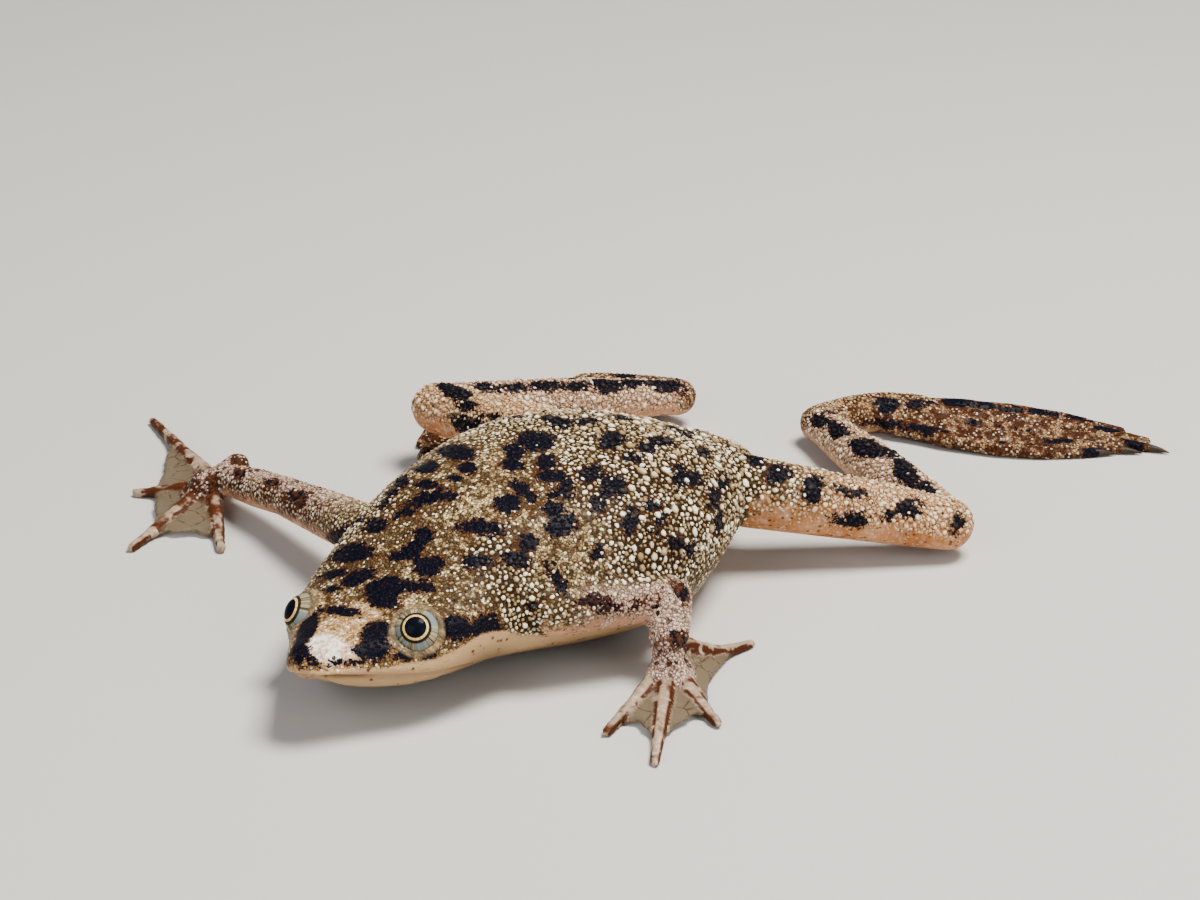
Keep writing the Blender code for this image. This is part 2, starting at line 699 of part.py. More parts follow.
for name, sign in (("left", 1.0), ("right", -1.0)):
    keys = foot_keys(name)
    ankle, knee = Vector(ANKLE[name]), Vector(KNEE[name])
    share = np.linspace(0.0, TARSUS_END + 0.06, 6)
    points = [Vector(p) for p in smooth(share, keys)]
    way = (points[0] - points[1]).normalized()
    points.insert(0, points[0] + way * TARSUS_RADII[0] * 0.7)
    sizes = [TARSUS_RADII[0] * 0.6] + list(np.linspace(TARSUS_RADII[0], TARSUS_RADII[2], 6))
    tarsus = tube("tarsus_" + name, points, sizes, LIMB_SIDES)
    parting(tarsus, ankle, ankle - knee, Vector(FOOT_LINE[name][1]) - ankle, False)

    cut, past = (Vector(p) for p in smooth((TARSUS_END, TARSUS_END + 0.02), keys))
    cut_way = past - cut
    parting(tarsus, cut, cut_way, cut_way, True)
    slice_off(tarsus, (0.0, 0.0, 0.0), (0.0, 0.0, -1.0))
    finish(tarsus, SKIN)

    # Toe 1 is on the side that was nearest the shin when the foot was folded
    lines = []
    for k, length in enumerate(TOE_LENGTHS):
        line = []
        for v in np.linspace(0.0, 1.0, 6):
            s = TARSUS_END - 0.03 + (length - TARSUS_END + 0.03) * v
            p, ahead = (Vector(q) for q in smooth((s, s + 0.01), keys))
            if s > 0.98:
                p, ahead = (Vector(q) for q in smooth((s - 0.01, s), keys))
                p, ahead = ahead, ahead + (ahead - p)
            way = ahead - p
            across = Vector((way.y, -way.x, 0.0)).normalized() * sign
            spacing = smooth(v, tuple(zip((0.0, 0.35, 0.7, 1.0), TOE_SPACING)))[0][0]
            p = p + across * spacing * (2.0 - k)
            size = smooth(v, ((0.0, TOE_RADII[0]), (0.5, TOE_RADII[1]), (1.0, TOE_RADII[2])))
            p.z = size[0][0] - FLOOR_SINK + 0.35 * (1.0 - v) ** 2
            line.append((float(v), *p))
        lines.append(tuple(line))
    pad = tube(
        "foot_" + name,
        [Vector(p) for p in smooth(np.linspace(TARSUS_END - 0.06, TARSUS_END + 0.16, 5), keys)],
        [1.2, 1.3, 1.25, 1.0, 0.6], LIMB_SIDES,
    )
    slice_off(pad, (0.0, 0.0, 0.0), (0.0, 0.0, -1.0))
    pieces = [digit("toe", line, TOE_RADII, 9) for line in lines]
    pieces += [web("web", a, b, FOOT_WEB_REACH) for a, b in zip(lines, lines[1:])]
    join_all(pad, pieces)
    parting(pad, cut, cut_way, cut_way, False)
    finish(pad, WEB_SKIN)

    for k in range(3):
        end = Vector(lines[k][-1][1:])
        way = (end - Vector(lines[k][-2][1:])).normalized()
        start = end + way * (TOE_RADII[2] * 0.8 + CLAW_CLEARANCE)
        points = [start + way * CLAW_LENGTH * v for v in (0.0, 0.35, 0.7, 1.0)]
        points[0].z = points[1].z = CLAW_RADIUS + 0.06
        points[2].z, points[3].z = CLAW_RADIUS * 0.8, CLAW_RADIUS * 0.55
        sizes = [CLAW_RADIUS * v for v in (0.9, 0.85, 0.5, 0.15)]
        claw = tube("claw_%s_%d" % (name, k + 1), points, sizes, FINGER_SIDES)
        finish(claw, CLAW)
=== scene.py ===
"""African dwarf frog: the looks of a still, life-size museum model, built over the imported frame.

Sizes are in millimetres and turned into metres where a mesh is made. The frog looks along -Y,
its left side is +X and the floor is z = 0. Shapes are numpy surfaces: sections or circles
carried along a path. One skin covers trunk, head and limbs.
"""

import math
from functools import partial

import bmesh
import bpy
import numpy as np
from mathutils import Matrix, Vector, kdtree
from mathutils.bvhtree import BVHTree


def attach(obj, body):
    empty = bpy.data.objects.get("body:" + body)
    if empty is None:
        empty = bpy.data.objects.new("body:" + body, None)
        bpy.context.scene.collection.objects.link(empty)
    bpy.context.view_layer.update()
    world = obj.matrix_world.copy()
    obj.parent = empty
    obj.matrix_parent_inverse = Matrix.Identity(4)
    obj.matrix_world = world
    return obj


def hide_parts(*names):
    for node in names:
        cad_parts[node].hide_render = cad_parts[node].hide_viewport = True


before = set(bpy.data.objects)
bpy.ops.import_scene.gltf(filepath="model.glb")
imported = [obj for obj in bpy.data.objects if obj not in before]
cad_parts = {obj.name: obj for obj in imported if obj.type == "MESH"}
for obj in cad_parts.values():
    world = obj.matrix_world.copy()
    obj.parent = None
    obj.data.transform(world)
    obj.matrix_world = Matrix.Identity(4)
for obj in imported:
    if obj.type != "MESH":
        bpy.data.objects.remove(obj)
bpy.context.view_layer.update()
MM = 0.001


# Camera -----------------------------------------------------------------------------------
# A 100 mm lens in front of the frog's left shoulder, a little above it, as a macro shot.

CAMERA_AZIMUTH = 52.0
CAMERA_ELEVATION = 25.0
CAMERA_TARGET = np.array((-0.075, -0.210, 9.092))
CAMERA_DISTANCE = 193.76
FOCAL_PIXELS = 3333.3
SENSOR_WIDTH = 36.0
PHOTO_WIDTH, PHOTO_HEIGHT = 1200.0, 900.0

azimuth, elevation = math.radians(CAMERA_AZIMUTH), math.radians(CAMERA_ELEVATION)
camera_back = np.array((
    math.sin(azimuth) * math.cos(elevation),
    -math.cos(azimuth) * math.cos(elevation),
    math.sin(elevation),
))
camera_right = np.array((math.cos(azimuth), math.sin(azimuth), 0.0))
camera_up = np.cross(camera_back, camera_right)
camera_place = CAMERA_TARGET + camera_back * CAMERA_DISTANCE


def unit(ways):
    """The same directions, one long."""
    return ways / np.linalg.norm(ways, axis=-1, keepdims=True)


def put_object(name, data):
    """A new object with that data, linked to the scene."""
    made = bpy.data.objects.new(name, data)
    bpy.context.scene.collection.objects.link(made)
    return made


lens = bpy.data.cameras.new("macro_lens")
lens.sensor_width = SENSOR_WIDTH
lens.lens = lens.sensor_width * FOCAL_PIXELS / PHOTO_WIDTH
lens.clip_start = 0.01
lens.clip_end = 10.0
camera = put_object("camera", lens)
camera.location = camera_place * MM
camera.rotation_euler = Vector(-camera_back).to_track_quat("-Z", "Y").to_euler()
bpy.context.scene.camera = camera


def rays_through(pixels):
    """Directions from the camera through places in the picture, given in its pixels."""
    pixels = np.asarray(pixels, float)
    across = (pixels[..., 0] - PHOTO_WIDTH / 2) / FOCAL_PIXELS
    down = (pixels[..., 1] - PHOTO_HEIGHT / 2) / FOCAL_PIXELS
    way = -camera_back + across[..., None] * camera_right - down[..., None] * camera_up
    return unit(way)


# Floor and light --------------------------------------------------------------------------
# A plain pale floor sheet under broad, soft studio lamps: one above and behind, two fills.

FLOOR_HALF = 1500.0
FLOOR_COLOUR, SKY_COLOUR = (0.56, 0.545, 0.52, 1.0), (0.86, 0.90, 1.0, 1.0)
SKY_STRENGTH = 0.17
LAMP_AIM = (0.0, 5.0, 3.0)


def node_material(name):
    """A new node material and its Principled shader."""
    made = bpy.data.materials.new(name)
    made.use_nodes = True
    return made, made.node_tree.nodes["Principled BSDF"]


floor_mesh = bpy.data.meshes.new("floor")
floor_mesh.from_pydata(
    [(x * FLOOR_HALF * MM, y * FLOOR_HALF * MM, 0.0)
     for x, y in ((-1, -1), (1, -1), (1, 1), (-1, 1))], [], [(0, 1, 2, 3)])
floor = put_object("floor", floor_mesh)
paper, paper_shader = node_material("pale_floor")
paper_shader.inputs["Base Color"].default_value = FLOOR_COLOUR
paper_shader.inputs["Roughness"].default_value = 0.75
floor.data.materials.append(paper)

world = bpy.data.worlds.new("studio")
world.use_nodes = True
sky = world.node_tree.nodes["Background"].inputs
sky["Color"].default_value = SKY_COLOUR
sky["Strength"].default_value = SKY_STRENGTH
bpy.context.scene.world = world


def soft_lamp(name, place, size, power, colour):
    """A square area lamp at that place (mm), turned towards the frog."""
    light = bpy.data.lights.new(name, "AREA")
    light.size = size * MM
    light.energy = power
    light.color = colour
    lamp = put_object(name, light)
    lamp.location = Vector(place) * MM
    aim = Vector(LAMP_AIM) * MM - lamp.location
    lamp.rotation_euler = aim.to_track_quat("-Z", "Y").to_euler()


soft_lamp("lamp_above", (60.0, 60.0, 260.0), 100.0, 1.8, (1.0, 0.95, 0.88))
soft_lamp("lamp_front", (40.0, -260.0, 160.0), 200.0, 0.45, (0.95, 0.97, 1.0))
soft_lamp("lamp_side", (300.0, 40.0, 120.0), 220.0, 0.4, (1.0, 0.98, 0.95))


# Skin: trunk and head ---------------------------------------------------------------------
# The frog's body is one soft mass from snout to vent, wide and flattened, broadest before
# the thighs. Its shape is the frame's own: sections carried along a spine that bends at the neck.

BODY_LENGTH = 36.0
VENT_Y = 11.0
HEAD_TURN = math.radians(20.0)
HEAD_ROLL = math.radians(8.5)
TURN_FROM, TURN_TO = 22.0, 5.0
ROLL_FROM, ROLL_TO = 16.0, 6.0
ROLL_HEIGHT = 4.0
SECTION_POWER = 2.25
SKIN_DEPTH = 0.06
SPINE_STEPS = np.linspace(0.0, BODY_LENGTH, 721)

# Distance behind the snout, half width, height of the widest line, top, underside
SECTIONS = (
    (0.0, 0.0, 4.7, 4.7, 4.7),
    (0.3, 0.9, 4.7, 5.15, 4.2),
    (1.1, 1.7, 4.5, 5.45, 3.5),
    (2.8, 2.95, 4.15, 5.65, 2.65),
    (5.0, 4.6, 3.85, 5.85, 1.75),
    (8.0, 6.2, 3.8, 6.9, 1.15),
    (11.0, 6.8, 4.0, 8.4, 0.9),
    (14.0, 7.5, 4.3, 9.8, 0.55),
    (18.0, 8.75, 4.7, 10.6, 0.1),
    (22.0, 9.3, 5.0, 10.8, -0.25),
    (26.0, 8.3, 5.2, 10.4, -0.25),
    (29.5, 6.2, 5.4, 9.3, 0.5),
    (32.5, 4.1, 5.3, 7.9, 1.9),
    (34.8, 2.3, 5.2, 6.8, 3.4),
    (35.7, 1.2, 5.2, 6.0, 4.3),
    (36.0, 0.0, 5.2, 5.2, 5.2),
)


def smooth(t, keys):
    """Cubic curve through rows of keys: the first column is the parameter, the rest values."""
    keys = np.asarray(keys, float)
    knot, value = keys[:, 0], keys[:, 1:]
    step = np.diff(knot)
    slope = np.diff(value, axis=0) / step[:, None]
    tangent = np.empty_like(value)
    tangent[1:-1] = slope[:-1] * step[1:, None] + slope[1:] * step[:-1, None]
    tangent[1:-1] /= (step[1:] + step[:-1])[:, None]
    tangent[0], tangent[-1] = slope[0], slope[-1]
    t = np.atleast_1d(np.asarray(t, float))
    i = np.clip(np.searchsorted(knot, t, "right") - 1, 0, len(step) - 1)
    h = step[i][:, None]
    u = ((t - knot[i]) / step[i])[:, None]
    return (
        (2 * u**3 - 3 * u**2 + 1) * value[i]
        + (u**3 - 2 * u**2 + u) * h * tangent[i]
        + (-2 * u**3 + 3 * u**2) * value[i + 1]
        + (u**3 - u**2) * h * tangent[i + 1]
    )


def ease(x):
    """0 below 0, 1 above 1, smooth between."""
    x = np.clip(x, 0.0, 1.0)
    return x * x * (3.0 - 2.0 * x)


def spine(t):
    """Floor-plan point, heading and roll at distance t behind the snout: the heading is
    summed up from the vent forwards, so that the neck bends and the rump stays straight."""
    s = SPINE_STEPS
    turn = HEAD_TURN * ease((TURN_FROM - s) / (TURN_FROM - TURN_TO))
    ds = s[1] - s[0]
    dx, dy = np.sin(turn) * ds, -np.cos(turn) * ds
    x = np.append(np.cumsum(((dx[1:] + dx[:-1]) / 2)[::-1])[::-1], 0.0)
    y = np.append(np.cumsum(((dy[1:] + dy[:-1]) / 2)[::-1])[::-1], 0.0) + VENT_Y
    roll = HEAD_ROLL * ease((ROLL_FROM - t) / (ROLL_FROM - ROLL_TO))
    return np.interp(t, s, x), np.interp(t, s, y), np.interp(t, s, turn), roll


def body_axes(t):
    """Side, forward and up directions of the body at t, one row for each t."""
    t = np.asarray(t, float)
    _, _, h, r = spine(t)
    side = np.stack((np.cos(h) * np.cos(r), np.sin(h) * np.cos(r), np.sin(r)), -1)
    ahead = np.stack((np.sin(h), -np.cos(h), 0.0 * h), -1)
    up = np.stack((-np.cos(h) * np.sin(r), -np.sin(h) * np.sin(r), np.cos(r)), -1)
    return side, ahead, up


def on_body(t, side, height):
    """Points of the body: t behind the snout, side to the left, height above the floor."""
    x, y, _, _ = spine(np.asarray(t, float))
    across, _, up = body_axes(t)
    base = np.stack((x, y, np.full_like(x, ROLL_HEIGHT)), -1)
    return base + across * np.asarray(side)[..., None] + up * (
        np.asarray(height, float) - ROLL_HEIGHT)[..., None]


def body_place(points):
    """The reverse of on_body: t, side and height of points, found by stepping t along the
    spine until the point lies square to it."""
    _, y, _, _ = spine(SPINE_STEPS)
    t = np.interp(points[:, 1], y, SPINE_STEPS)
    for _ in range(4):
        px, py, _, _ = spine(t)
        _, ahead, _ = body_axes(t)
        gap = (points[:, 0] - px) * ahead[:, 0] + (points[:, 1] - py) * ahead[:, 1]
        t = np.clip(t - gap, -1.0, BODY_LENGTH + 1.0)
    px, py, _, _ = spine(t)
    across, _, up = body_axes(t)
    away = points - np.stack((px, py, np.full_like(px, ROLL_HEIGHT)), -1)
    return t, (away * across).sum(1), (away * up).sum(1) + ROLL_HEIGHT


def rounded_off(share):
    """What a section keeps of one half axis at that share of the other: one less the share's
    power, rooted, and 0 past the end."""
    return np.maximum(1.0 - share**SECTION_POWER, 0.0) ** (1.0 / SECTION_POWER)


def half_width(t, height):
    """Half width of the body at t and at that height, 0 outside it."""
    w, mid, top, low = smooth(t, SECTIONS).T
    reach = np.maximum(np.where(height > mid, top - mid, mid - low), 1e-6)
    return w * rounded_off(np.abs(height - mid) / reach)


def upper_height(t, side):
    """Height of the upper skin at t and at that distance from the middle."""
    w, mid, top, _ = smooth(t, SECTIONS).T
    return mid + (top - mid) * rounded_off(np.abs(side) / np.maximum(w, 1e-6))


flesh_points, flesh_faces = [], []


def add_flesh(grid):
    """Keep a closed surface for the skin: rows of a grid joined round, both ends capped."""
    rows, columns = grid.shape[:2]
    first = sum(len(p) for p in flesh_points)
    index = first + np.arange(rows * columns).reshape(rows, columns)
    a, b = index[:-1], index[1:]
    quads = np.stack((a, np.roll(a, -1, 1), np.roll(b, -1, 1), b), -1).reshape(-1, 4)
    flesh_points.append(grid.reshape(-1, 3))
    flesh_faces.extend(quads.tolist())
    flesh_faces.append(index[0][::-1].tolist())
    flesh_faces.append(index[-1].tolist())


BODY_ROWS, BODY_COLUMNS = 150, 120
share = (1.0 - np.cos(np.linspace(0.02, math.pi - 0.02, BODY_ROWS))) / 2
body_t = BODY_LENGTH * share
w, mid, top, low = (column[:, None] for column in smooth(body_t, SECTIONS).T)
angle = np.linspace(0.0, 2 * math.pi, BODY_COLUMNS, endpoint=False)[None, :]
c = np.sign(np.cos(angle)) * np.abs(np.cos(angle)) ** (2.0 / SECTION_POWER)
s = np.sign(np.sin(angle)) * np.abs(np.sin(angle)) ** (2.0 / SECTION_POWER)
reach = np.where(s > 0, top - mid, mid - low) - SKIN_DEPTH
body_grid = on_body(
    np.broadcast_to(body_t[:, None], (BODY_ROWS, BODY_COLUMNS)),
    (np.maximum(w, 0.0) - SKIN_DEPTH) * c, mid + reach * s)
add_flesh(body_grid[:, ::-1])


# Skin: arms and legs ----------------------------------------------------------------------
# Short arms spread wide and long folded hind legs: tapered rounds of muscle between joints,
# fullest at the middle of the thigh and the calf, slim at the wrist and the ankle.

SHOULDER = {"left": (7.0, -9.6, 4.7), "right": (-6.4, -11.5, 4.4)}
ELBOW = {"left": (9.9, -3.0, 4.4), "right": (-17.3, -11.1, 2.8)}
WRIST = {"left": (11.75, -4.65, 1.8), "right": (-24.0, -11.4, 1.6)}
UPPER_ARM_RADII = (1.7, 1.5, 1.25)
FOREARM_RADII = (1.25, 1.2, 0.9)
HIP = {"left": (1.6, 7.2, 5.2), "right": (-3.4, 6.4, 4.8)}
KNEE = {"left": (9.3, 19.0, 2.1), "right": (-19.8, 2.1, 4.1)}
ANKLE = {"left": (-7.35, 23.4, 1.5), "right": (-15.4, 18.2, 2.0)}
THIGH_RADII = (2.3, 2.0, 1.65)
SHIN_RADII = (1.6, 1.6, 1.15)

# Every round of flesh as (kind, side, path, radii), for telling later what a place belongs to
rounds = []


def tube_grid(path, radii, sides):
    """Circles of the given radii carried along a path, square to it, with one axis level."""
    way = unit(np.gradient(path, axis=0))
    level = np.cross(way, (0.0, 0.0, 1.0))
    level /= np.maximum(np.linalg.norm(level, axis=1, keepdims=True), 1e-9)
    lift = np.cross(level, way)
    turn = np.linspace(0.0, 2 * math.pi, sides, endpoint=False)[None, :, None]
    ring = np.cos(turn) * level[:, None] + np.sin(turn) * lift[:, None]
    return path[:, None] + ring * radii[:, None, None]


def rounded_tube(path, radii, sides=32, cap=7):
    """A tube whose two ends are closed by half balls of the end radii."""
    bend = np.linspace(math.pi / 2 * 0.97, 0.0, cap, endpoint=False)[:, None]
    first, last = unit(path[0] - path[1]), unit(path[-1] - path[-2])
    front = path[0] + first * radii[0] * np.sin(bend)
    back = (path[-1] + last * radii[-1] * np.sin(bend))[::-1]
    full = np.concatenate((front, path, back))
    size = np.concatenate((
        radii[0] * np.cos(bend[:, 0]), radii, (radii[-1] * np.cos(bend[:, 0]))[::-1]))
    return tube_grid(full, size, sides)


def add_round(kind, side, path, size, **ends):
    """A round of flesh with a radius for each point of its path."""
    add_flesh(rounded_tube(path, size, **ends))
    rounds.append((kind, side, path, size))


def add_limb(kind, side, a, b, radii, steps=28):
    """A round of muscle from joint a to joint b."""
    middle = (np.asarray(a) + np.asarray(b)) / 2
    keys = ((0.0, *a, radii[0]), (0.5, *middle, radii[1]), (1.0, *b, radii[2]))
    row = smooth(np.linspace(0.0, 1.0, steps), keys)
    add_round(kind, side, row[:, :3], row[:, 3] - SKIN_DEPTH)


for side in ("left", "right"):
    add_limb("upper_arm", side, SHOULDER[side], ELBOW[side], UPPER_ARM_RADII)
    add_limb("forearm", side, ELBOW[side], WRIST[side], FOREARM_RADII)
    add_limb("thigh", side, HIP[side], KNEE[side], THIGH_RADII)
    add_limb("shin", side, KNEE[side], ANKLE[side], SHIN_RADII, steps=36)


# Skin: hands ------------------------------------------------------------------------------
# Four slim fingers with slightly knobbed joints fan out from a small palm. A thin web with a
# scalloped edge joins them over the first half of their length.

# Root and tip of each finger on the floor plan, inner to outer
FINGERS = {
    "left": (
        ((11.5, -5.0, 1.0), (13.9, -10.7)),
        ((12.1, -4.95, 1.0), (18.0, -10.6)),
        ((12.1, -4.3, 1.0), (16.9, -5.3)),
        ((11.0, -2.7, 1.7), (11.0, 2.1)),
    ),
    "right": (
        ((-23.4, -12.4, 0.95), (-17.9, -15.4)),
        ((-24.2, -12.9, 0.95), (-21.4, -19.6)),
        ((-24.9, -12.4, 0.95), (-27.9, -15.4)),
        ((-24.9, -11.3, 1.0), (-36.6, -8.9)),
    ),
}
FINGER_RADII = (0.54, 0.42, 0.30)
PALM_RADIUS = 1.25
HAND_WEB_REACH = 0.55
WEB_THICKNESS, WEB_SAG, WEB_LOWEST, WEB_CURVE = 0.46, 0.10, 0.26, 0.55
WEB_ROWS, WEB_COLUMNS = 26, 13
FLOOR_SINK = 0.06
KNOB, KNOB_LENGTH = 0.09, 0.05
DIGIT_STEPS, STUMP_STEPS = 34, 16


def add_digit(kind, side, keys, radii, knobs):
    """A finger or toe along its keys, a little thicker at its joints, rounded at the tip."""
    share = np.linspace(0.0, 1.0, DIGIT_STEPS)
    path = smooth(share, keys)
    size = smooth(share, ((0.0, radii[0]), (0.5, radii[1]), (1.0, radii[2])))[:, 0]
    for knob in knobs:
        size = size * (1.0 + KNOB * np.exp(-((share - knob) / KNOB_LENGTH) ** 2))
    add_round(kind, side, path, size, sides=18, cap=5)


def add_web(first, second, reach):
    """A thin slab between two digits: u runs across, v along; the free edge is a parabola,
    longer beside the digits, and the slab tapers towards it."""
    u = np.linspace(0.0, 1.0, WEB_COLUMNS)[None, :, None]
    v = np.linspace(0.02, 1.0, WEB_ROWS)[:, None, None]
    along = v * (reach + (1.0 - reach) * WEB_CURVE * (2.0 * u - 1.0) ** 2)
    a, b = (smooth(along.ravel(), keys).reshape(WEB_ROWS, WEB_COLUMNS, 3)
            for keys in (first, second))
    sheet = a * (1.0 - u) + b * u
    sheet[..., 2] -= WEB_SAG * np.sin(math.pi * u[..., 0])
    sheet[..., 2] = np.maximum(sheet[..., 2], WEB_LOWEST)
    half = np.array((0.0, 0.0, WEB_THICKNESS / 2))
    add_flesh(np.concatenate((sheet + half, (sheet - half)[:, ::-1]), 1))


for side in ("left", "right"):
    wrist = np.asarray(WRIST[side])
    finger_keys = []
    for root, tip in FINGERS[side]:
        start = np.array(root)
        end = np.array((*tip, FINGER_RADII[2] - FLOOR_SINK))
        middle = (start + end) / 2
        middle[2] = FINGER_RADII[1] + 0.1
        finger_keys.append(((0.0, *start), (0.5, *middle), (1.0, *end)))
    palm_end = np.mean([keys[0][1:] for keys in finger_keys[:3]], axis=0)
    palm_way = unit(palm_end - wrist)
    palm_keys = (
        (0.0, *(wrist - palm_way * 1.2), 0.8),
        (0.35, *wrist, FOREARM_RADII[2]),
        (0.75, *palm_end, PALM_RADIUS),
        (1.0, *(palm_end + palm_way * 0.9), PALM_RADIUS * 0.6),
    )
    palm = smooth(np.linspace(0.0, 1.0, STUMP_STEPS), palm_keys)
    add_round("palm", side, palm[:, :3], palm[:, 3])
    for keys in finger_keys:
        add_digit("finger", side, keys, FINGER_RADII, (0.33, 0.66))
    for first, second in zip(finger_keys, finger_keys[1:]):
        add_web(first, second, HAND_WEB_REACH)


# Skin: hind feet --------------------------------------------------------------------------
# Long feet trailing on the floor: an ankle stretch, then five toes in a full web, the middle
# toe the longest, the inner three ending in small dark claws.

FOOT_LINE = {
    "left": (
        (-7.35, 23.4, 1.5),
        (-7.4, 25.6, 1.35),
        (-6.8, 28.3, 1.15),
        (-4.85, 30.5, 0.95),
        (-2.15, 32.7, 0.8),
        (1.25, 35.6, 0.7),
        (3.95, 37.9, 0.6),
        (6.6, 39.55, 0.45),
    ),
    "right": (
        (-15.4, 18.2, 2.0),
        (-18.3, 17.4, 1.4),
        (-20.9, 15.4, 1.1),
        (-22.3, 12.2, 0.9),
        (-22.6, 8.8, 0.75),
        (-21.8, 5.2, 0.6),
        (-20.2, 1.8, 0.45),
    ),
}
TARSUS_END, SOLE_OVERLAP = 0.27, 0.06
SOLE_END = TARSUS_END + 0.16
TARSUS_RADII = (1.2, 1.35)
SOLE_RADII = ((0.0, 1.2), (0.25, 1.3), (0.5, 1.25), (0.75, 1.0), (1.0, 0.6))
TOE_SPACING = ((0.0, 0.75), (0.35, 1.35), (0.7, 1.45), (1.0, 0.95))
TOE_LENGTHS = (0.86, 0.93, 1.0, 0.98, 0.9)
TOE_RADII = (0.6, 0.5, 0.32)
FOOT_WEB_REACH = 0.9

toe_ends = {}
for side, sign in (("left", 1.0), ("right", -1.0)):
    line = np.asarray(FOOT_LINE[side])
    steps = np.append(0.0, np.cumsum(np.linalg.norm(np.diff(line, axis=0), axis=1)))
    foot_keys = np.column_stack((steps / steps[-1], line))
    tarsus = smooth(np.linspace(0.0, TARSUS_END + SOLE_OVERLAP, STUMP_STEPS), foot_keys)
    add_round("tarsus", side, tarsus, np.linspace(*TARSUS_RADII, STUMP_STEPS))
    sole = smooth(np.linspace(TARSUS_END - SOLE_OVERLAP, SOLE_END, STUMP_STEPS), foot_keys)
    add_round("sole", side, sole, smooth(np.linspace(0.0, 1.0, STUMP_STEPS), SOLE_RADII)[:, 0])
    toe_keys = []
    for k, length in enumerate(TOE_LENGTHS):
        v = np.linspace(0.0, 1.0, 7)
        along = TARSUS_END - 0.03 + (length - TARSUS_END + 0.03) * v
        place = smooth(along, foot_keys)
        way = smooth(np.minimum(along + 0.01, 1.0), foot_keys) - smooth(
            np.minimum(along, 0.99), foot_keys)
        across = unit(np.stack((way[:, 1], -way[:, 0]), -1) * sign)
        place[:, :2] += across * smooth(v, TOE_SPACING) * (2.0 - k)
        size = smooth(v, ((0.0, TOE_RADII[0]), (0.5, TOE_RADII[1]), (1.0, TOE_RADII[2])))[:, 0]
        place[:, 2] = size - FLOOR_SINK + 0.35 * (1.0 - v) ** 2
        toe_keys.append(np.column_stack((v, place)))
    toe_ends[side] = [keys[-2:, 1:] for keys in toe_keys]
    for keys in toe_keys:
        add_digit("toe", side, keys, TOE_RADII, (0.3, 0.52, 0.74))
    for first, second in zip(toe_keys, toe_keys[1:]):
        add_web(first, second, FOOT_WEB_REACH)


# Skin: lids and lips ----------------------------------------------------------------------
# Lidless-looking round eyes stand in low rings of clear skin on the top corners of the head.
# The mouth is a fine line low on the snout between two thin rolled lips.

EYE_AT, EYE_SIDE, EYE_HEIGHT = 5.5, 4.3, 5.65
EYE_SET, EYE_GAZE = (0.5, 0.38, 0.78), (0.45, 0.66, 0.6)
EYE_RADIUS, EYE_SINK = 1.35, 0.82
LID_RING, LID_RADIUS, LID_RISE = 1.3, 0.27, 0.36
MOUTH_HEIGHT, MOUTH_FALL = 3.95, 0.2
MOUTH_END = 8.8
LIP_RADIUS, LIP_RISE = 0.27, 0.36
NOSTRIL_AT, NOSTRIL_SIDE, NOSTRIL_RADIUS = 0.95, 0.75, 0.17

eyes = {}
for side, sign in (("left", 1.0), ("right", -1.0)):
    across, ahead, up = body_axes(EYE_AT)
    set_in, look = (
        unit(across * sign * way[0] + ahead * way[1] + up * way[2])
        for way in (EYE_SET, EYE_GAZE))
    centre = on_body(EYE_AT, sign * EYE_SIDE, EYE_HEIGHT) - set_in * EYE_RADIUS * EYE_SINK
    eye_across = unit(np.cross(ahead, look))
    eyes[side] = (centre, look, eye_across, np.cross(look, eye_across))

    # A closed ring of skin: a small circle carried round the eyeball
    turn = np.linspace(0.0, 2 * math.pi, 73)
    around = np.cos(turn)[:, None] * eyes[side][2] + np.sin(turn)[:, None] * eyes[side][3]
    small = np.linspace(0.0, 2 * math.pi, 20, endpoint=False)
    ring = (
        centre + look * LID_RISE + around[:, None] * (
            LID_RING + LID_RADIUS * np.cos(small)[None, :, None])
        + look * (LID_RADIUS * np.sin(small)[None, :, None]))
    add_flesh(ring)


def lip_path(rise):
    """Points round the snout on the skin, rise above or below the line of the mouth."""
    stations = np.linspace(0.0, 1.0, 40) ** 1.6 * (MOUTH_END - 0.35) + 0.35
    lowest = smooth(stations, SECTIONS)[:, 3] + LIP_RADIUS * 0.8
    height = np.maximum(MOUTH_HEIGHT - MOUTH_FALL * stations + rise, lowest)
    width = half_width(stations, height) - LIP_RADIUS * 0.55
    left = on_body(stations, width, height)
    right = on_body(stations, -width, height)
    return np.concatenate((left[::-1], right))


for rise in (LIP_RISE, -LIP_RISE):
    path = lip_path(rise)
    taper = np.sin(np.linspace(0.03, math.pi - 0.03, len(path)))
    add_flesh(rounded_tube(path, LIP_RADIUS * (0.4 + 0.6 * taper), sides=16, cap=4))


# Skin: one surface ------------------------------------------------------------------------
# All the rounds are fused into one closed skin by a fine voxel remesh and relaxed, so that
# limbs grow out of the body. The head gets a finer mesh for its lids, nostrils and mouth.

VOXEL = 0.228
HEAD_BACK = 10.6

raw = bpy.data.meshes.new("raw_skin")
raw.from_pydata(np.concatenate(flesh_points).tolist(), [], flesh_faces)
raw_object = put_object("raw_skin", raw)
fuse = raw_object.modifiers.new("fuse", "REMESH")
fuse.mode = "VOXEL"
fuse.voxel_size = VOXEL
bpy.context.view_layer.update()
fused = bpy.data.meshes.new_from_object(
    raw_object.evaluated_get(bpy.context.evaluated_depsgraph_get()))
bpy.data.objects.remove(raw_object, do_unlink=True)


def mesh_points(mesh):
    """The mesh's corners as rows."""
    flat = np.empty(len(mesh.vertices) * 3)
    mesh.vertices.foreach_get("co", flat)
    return flat.reshape(-1, 3)


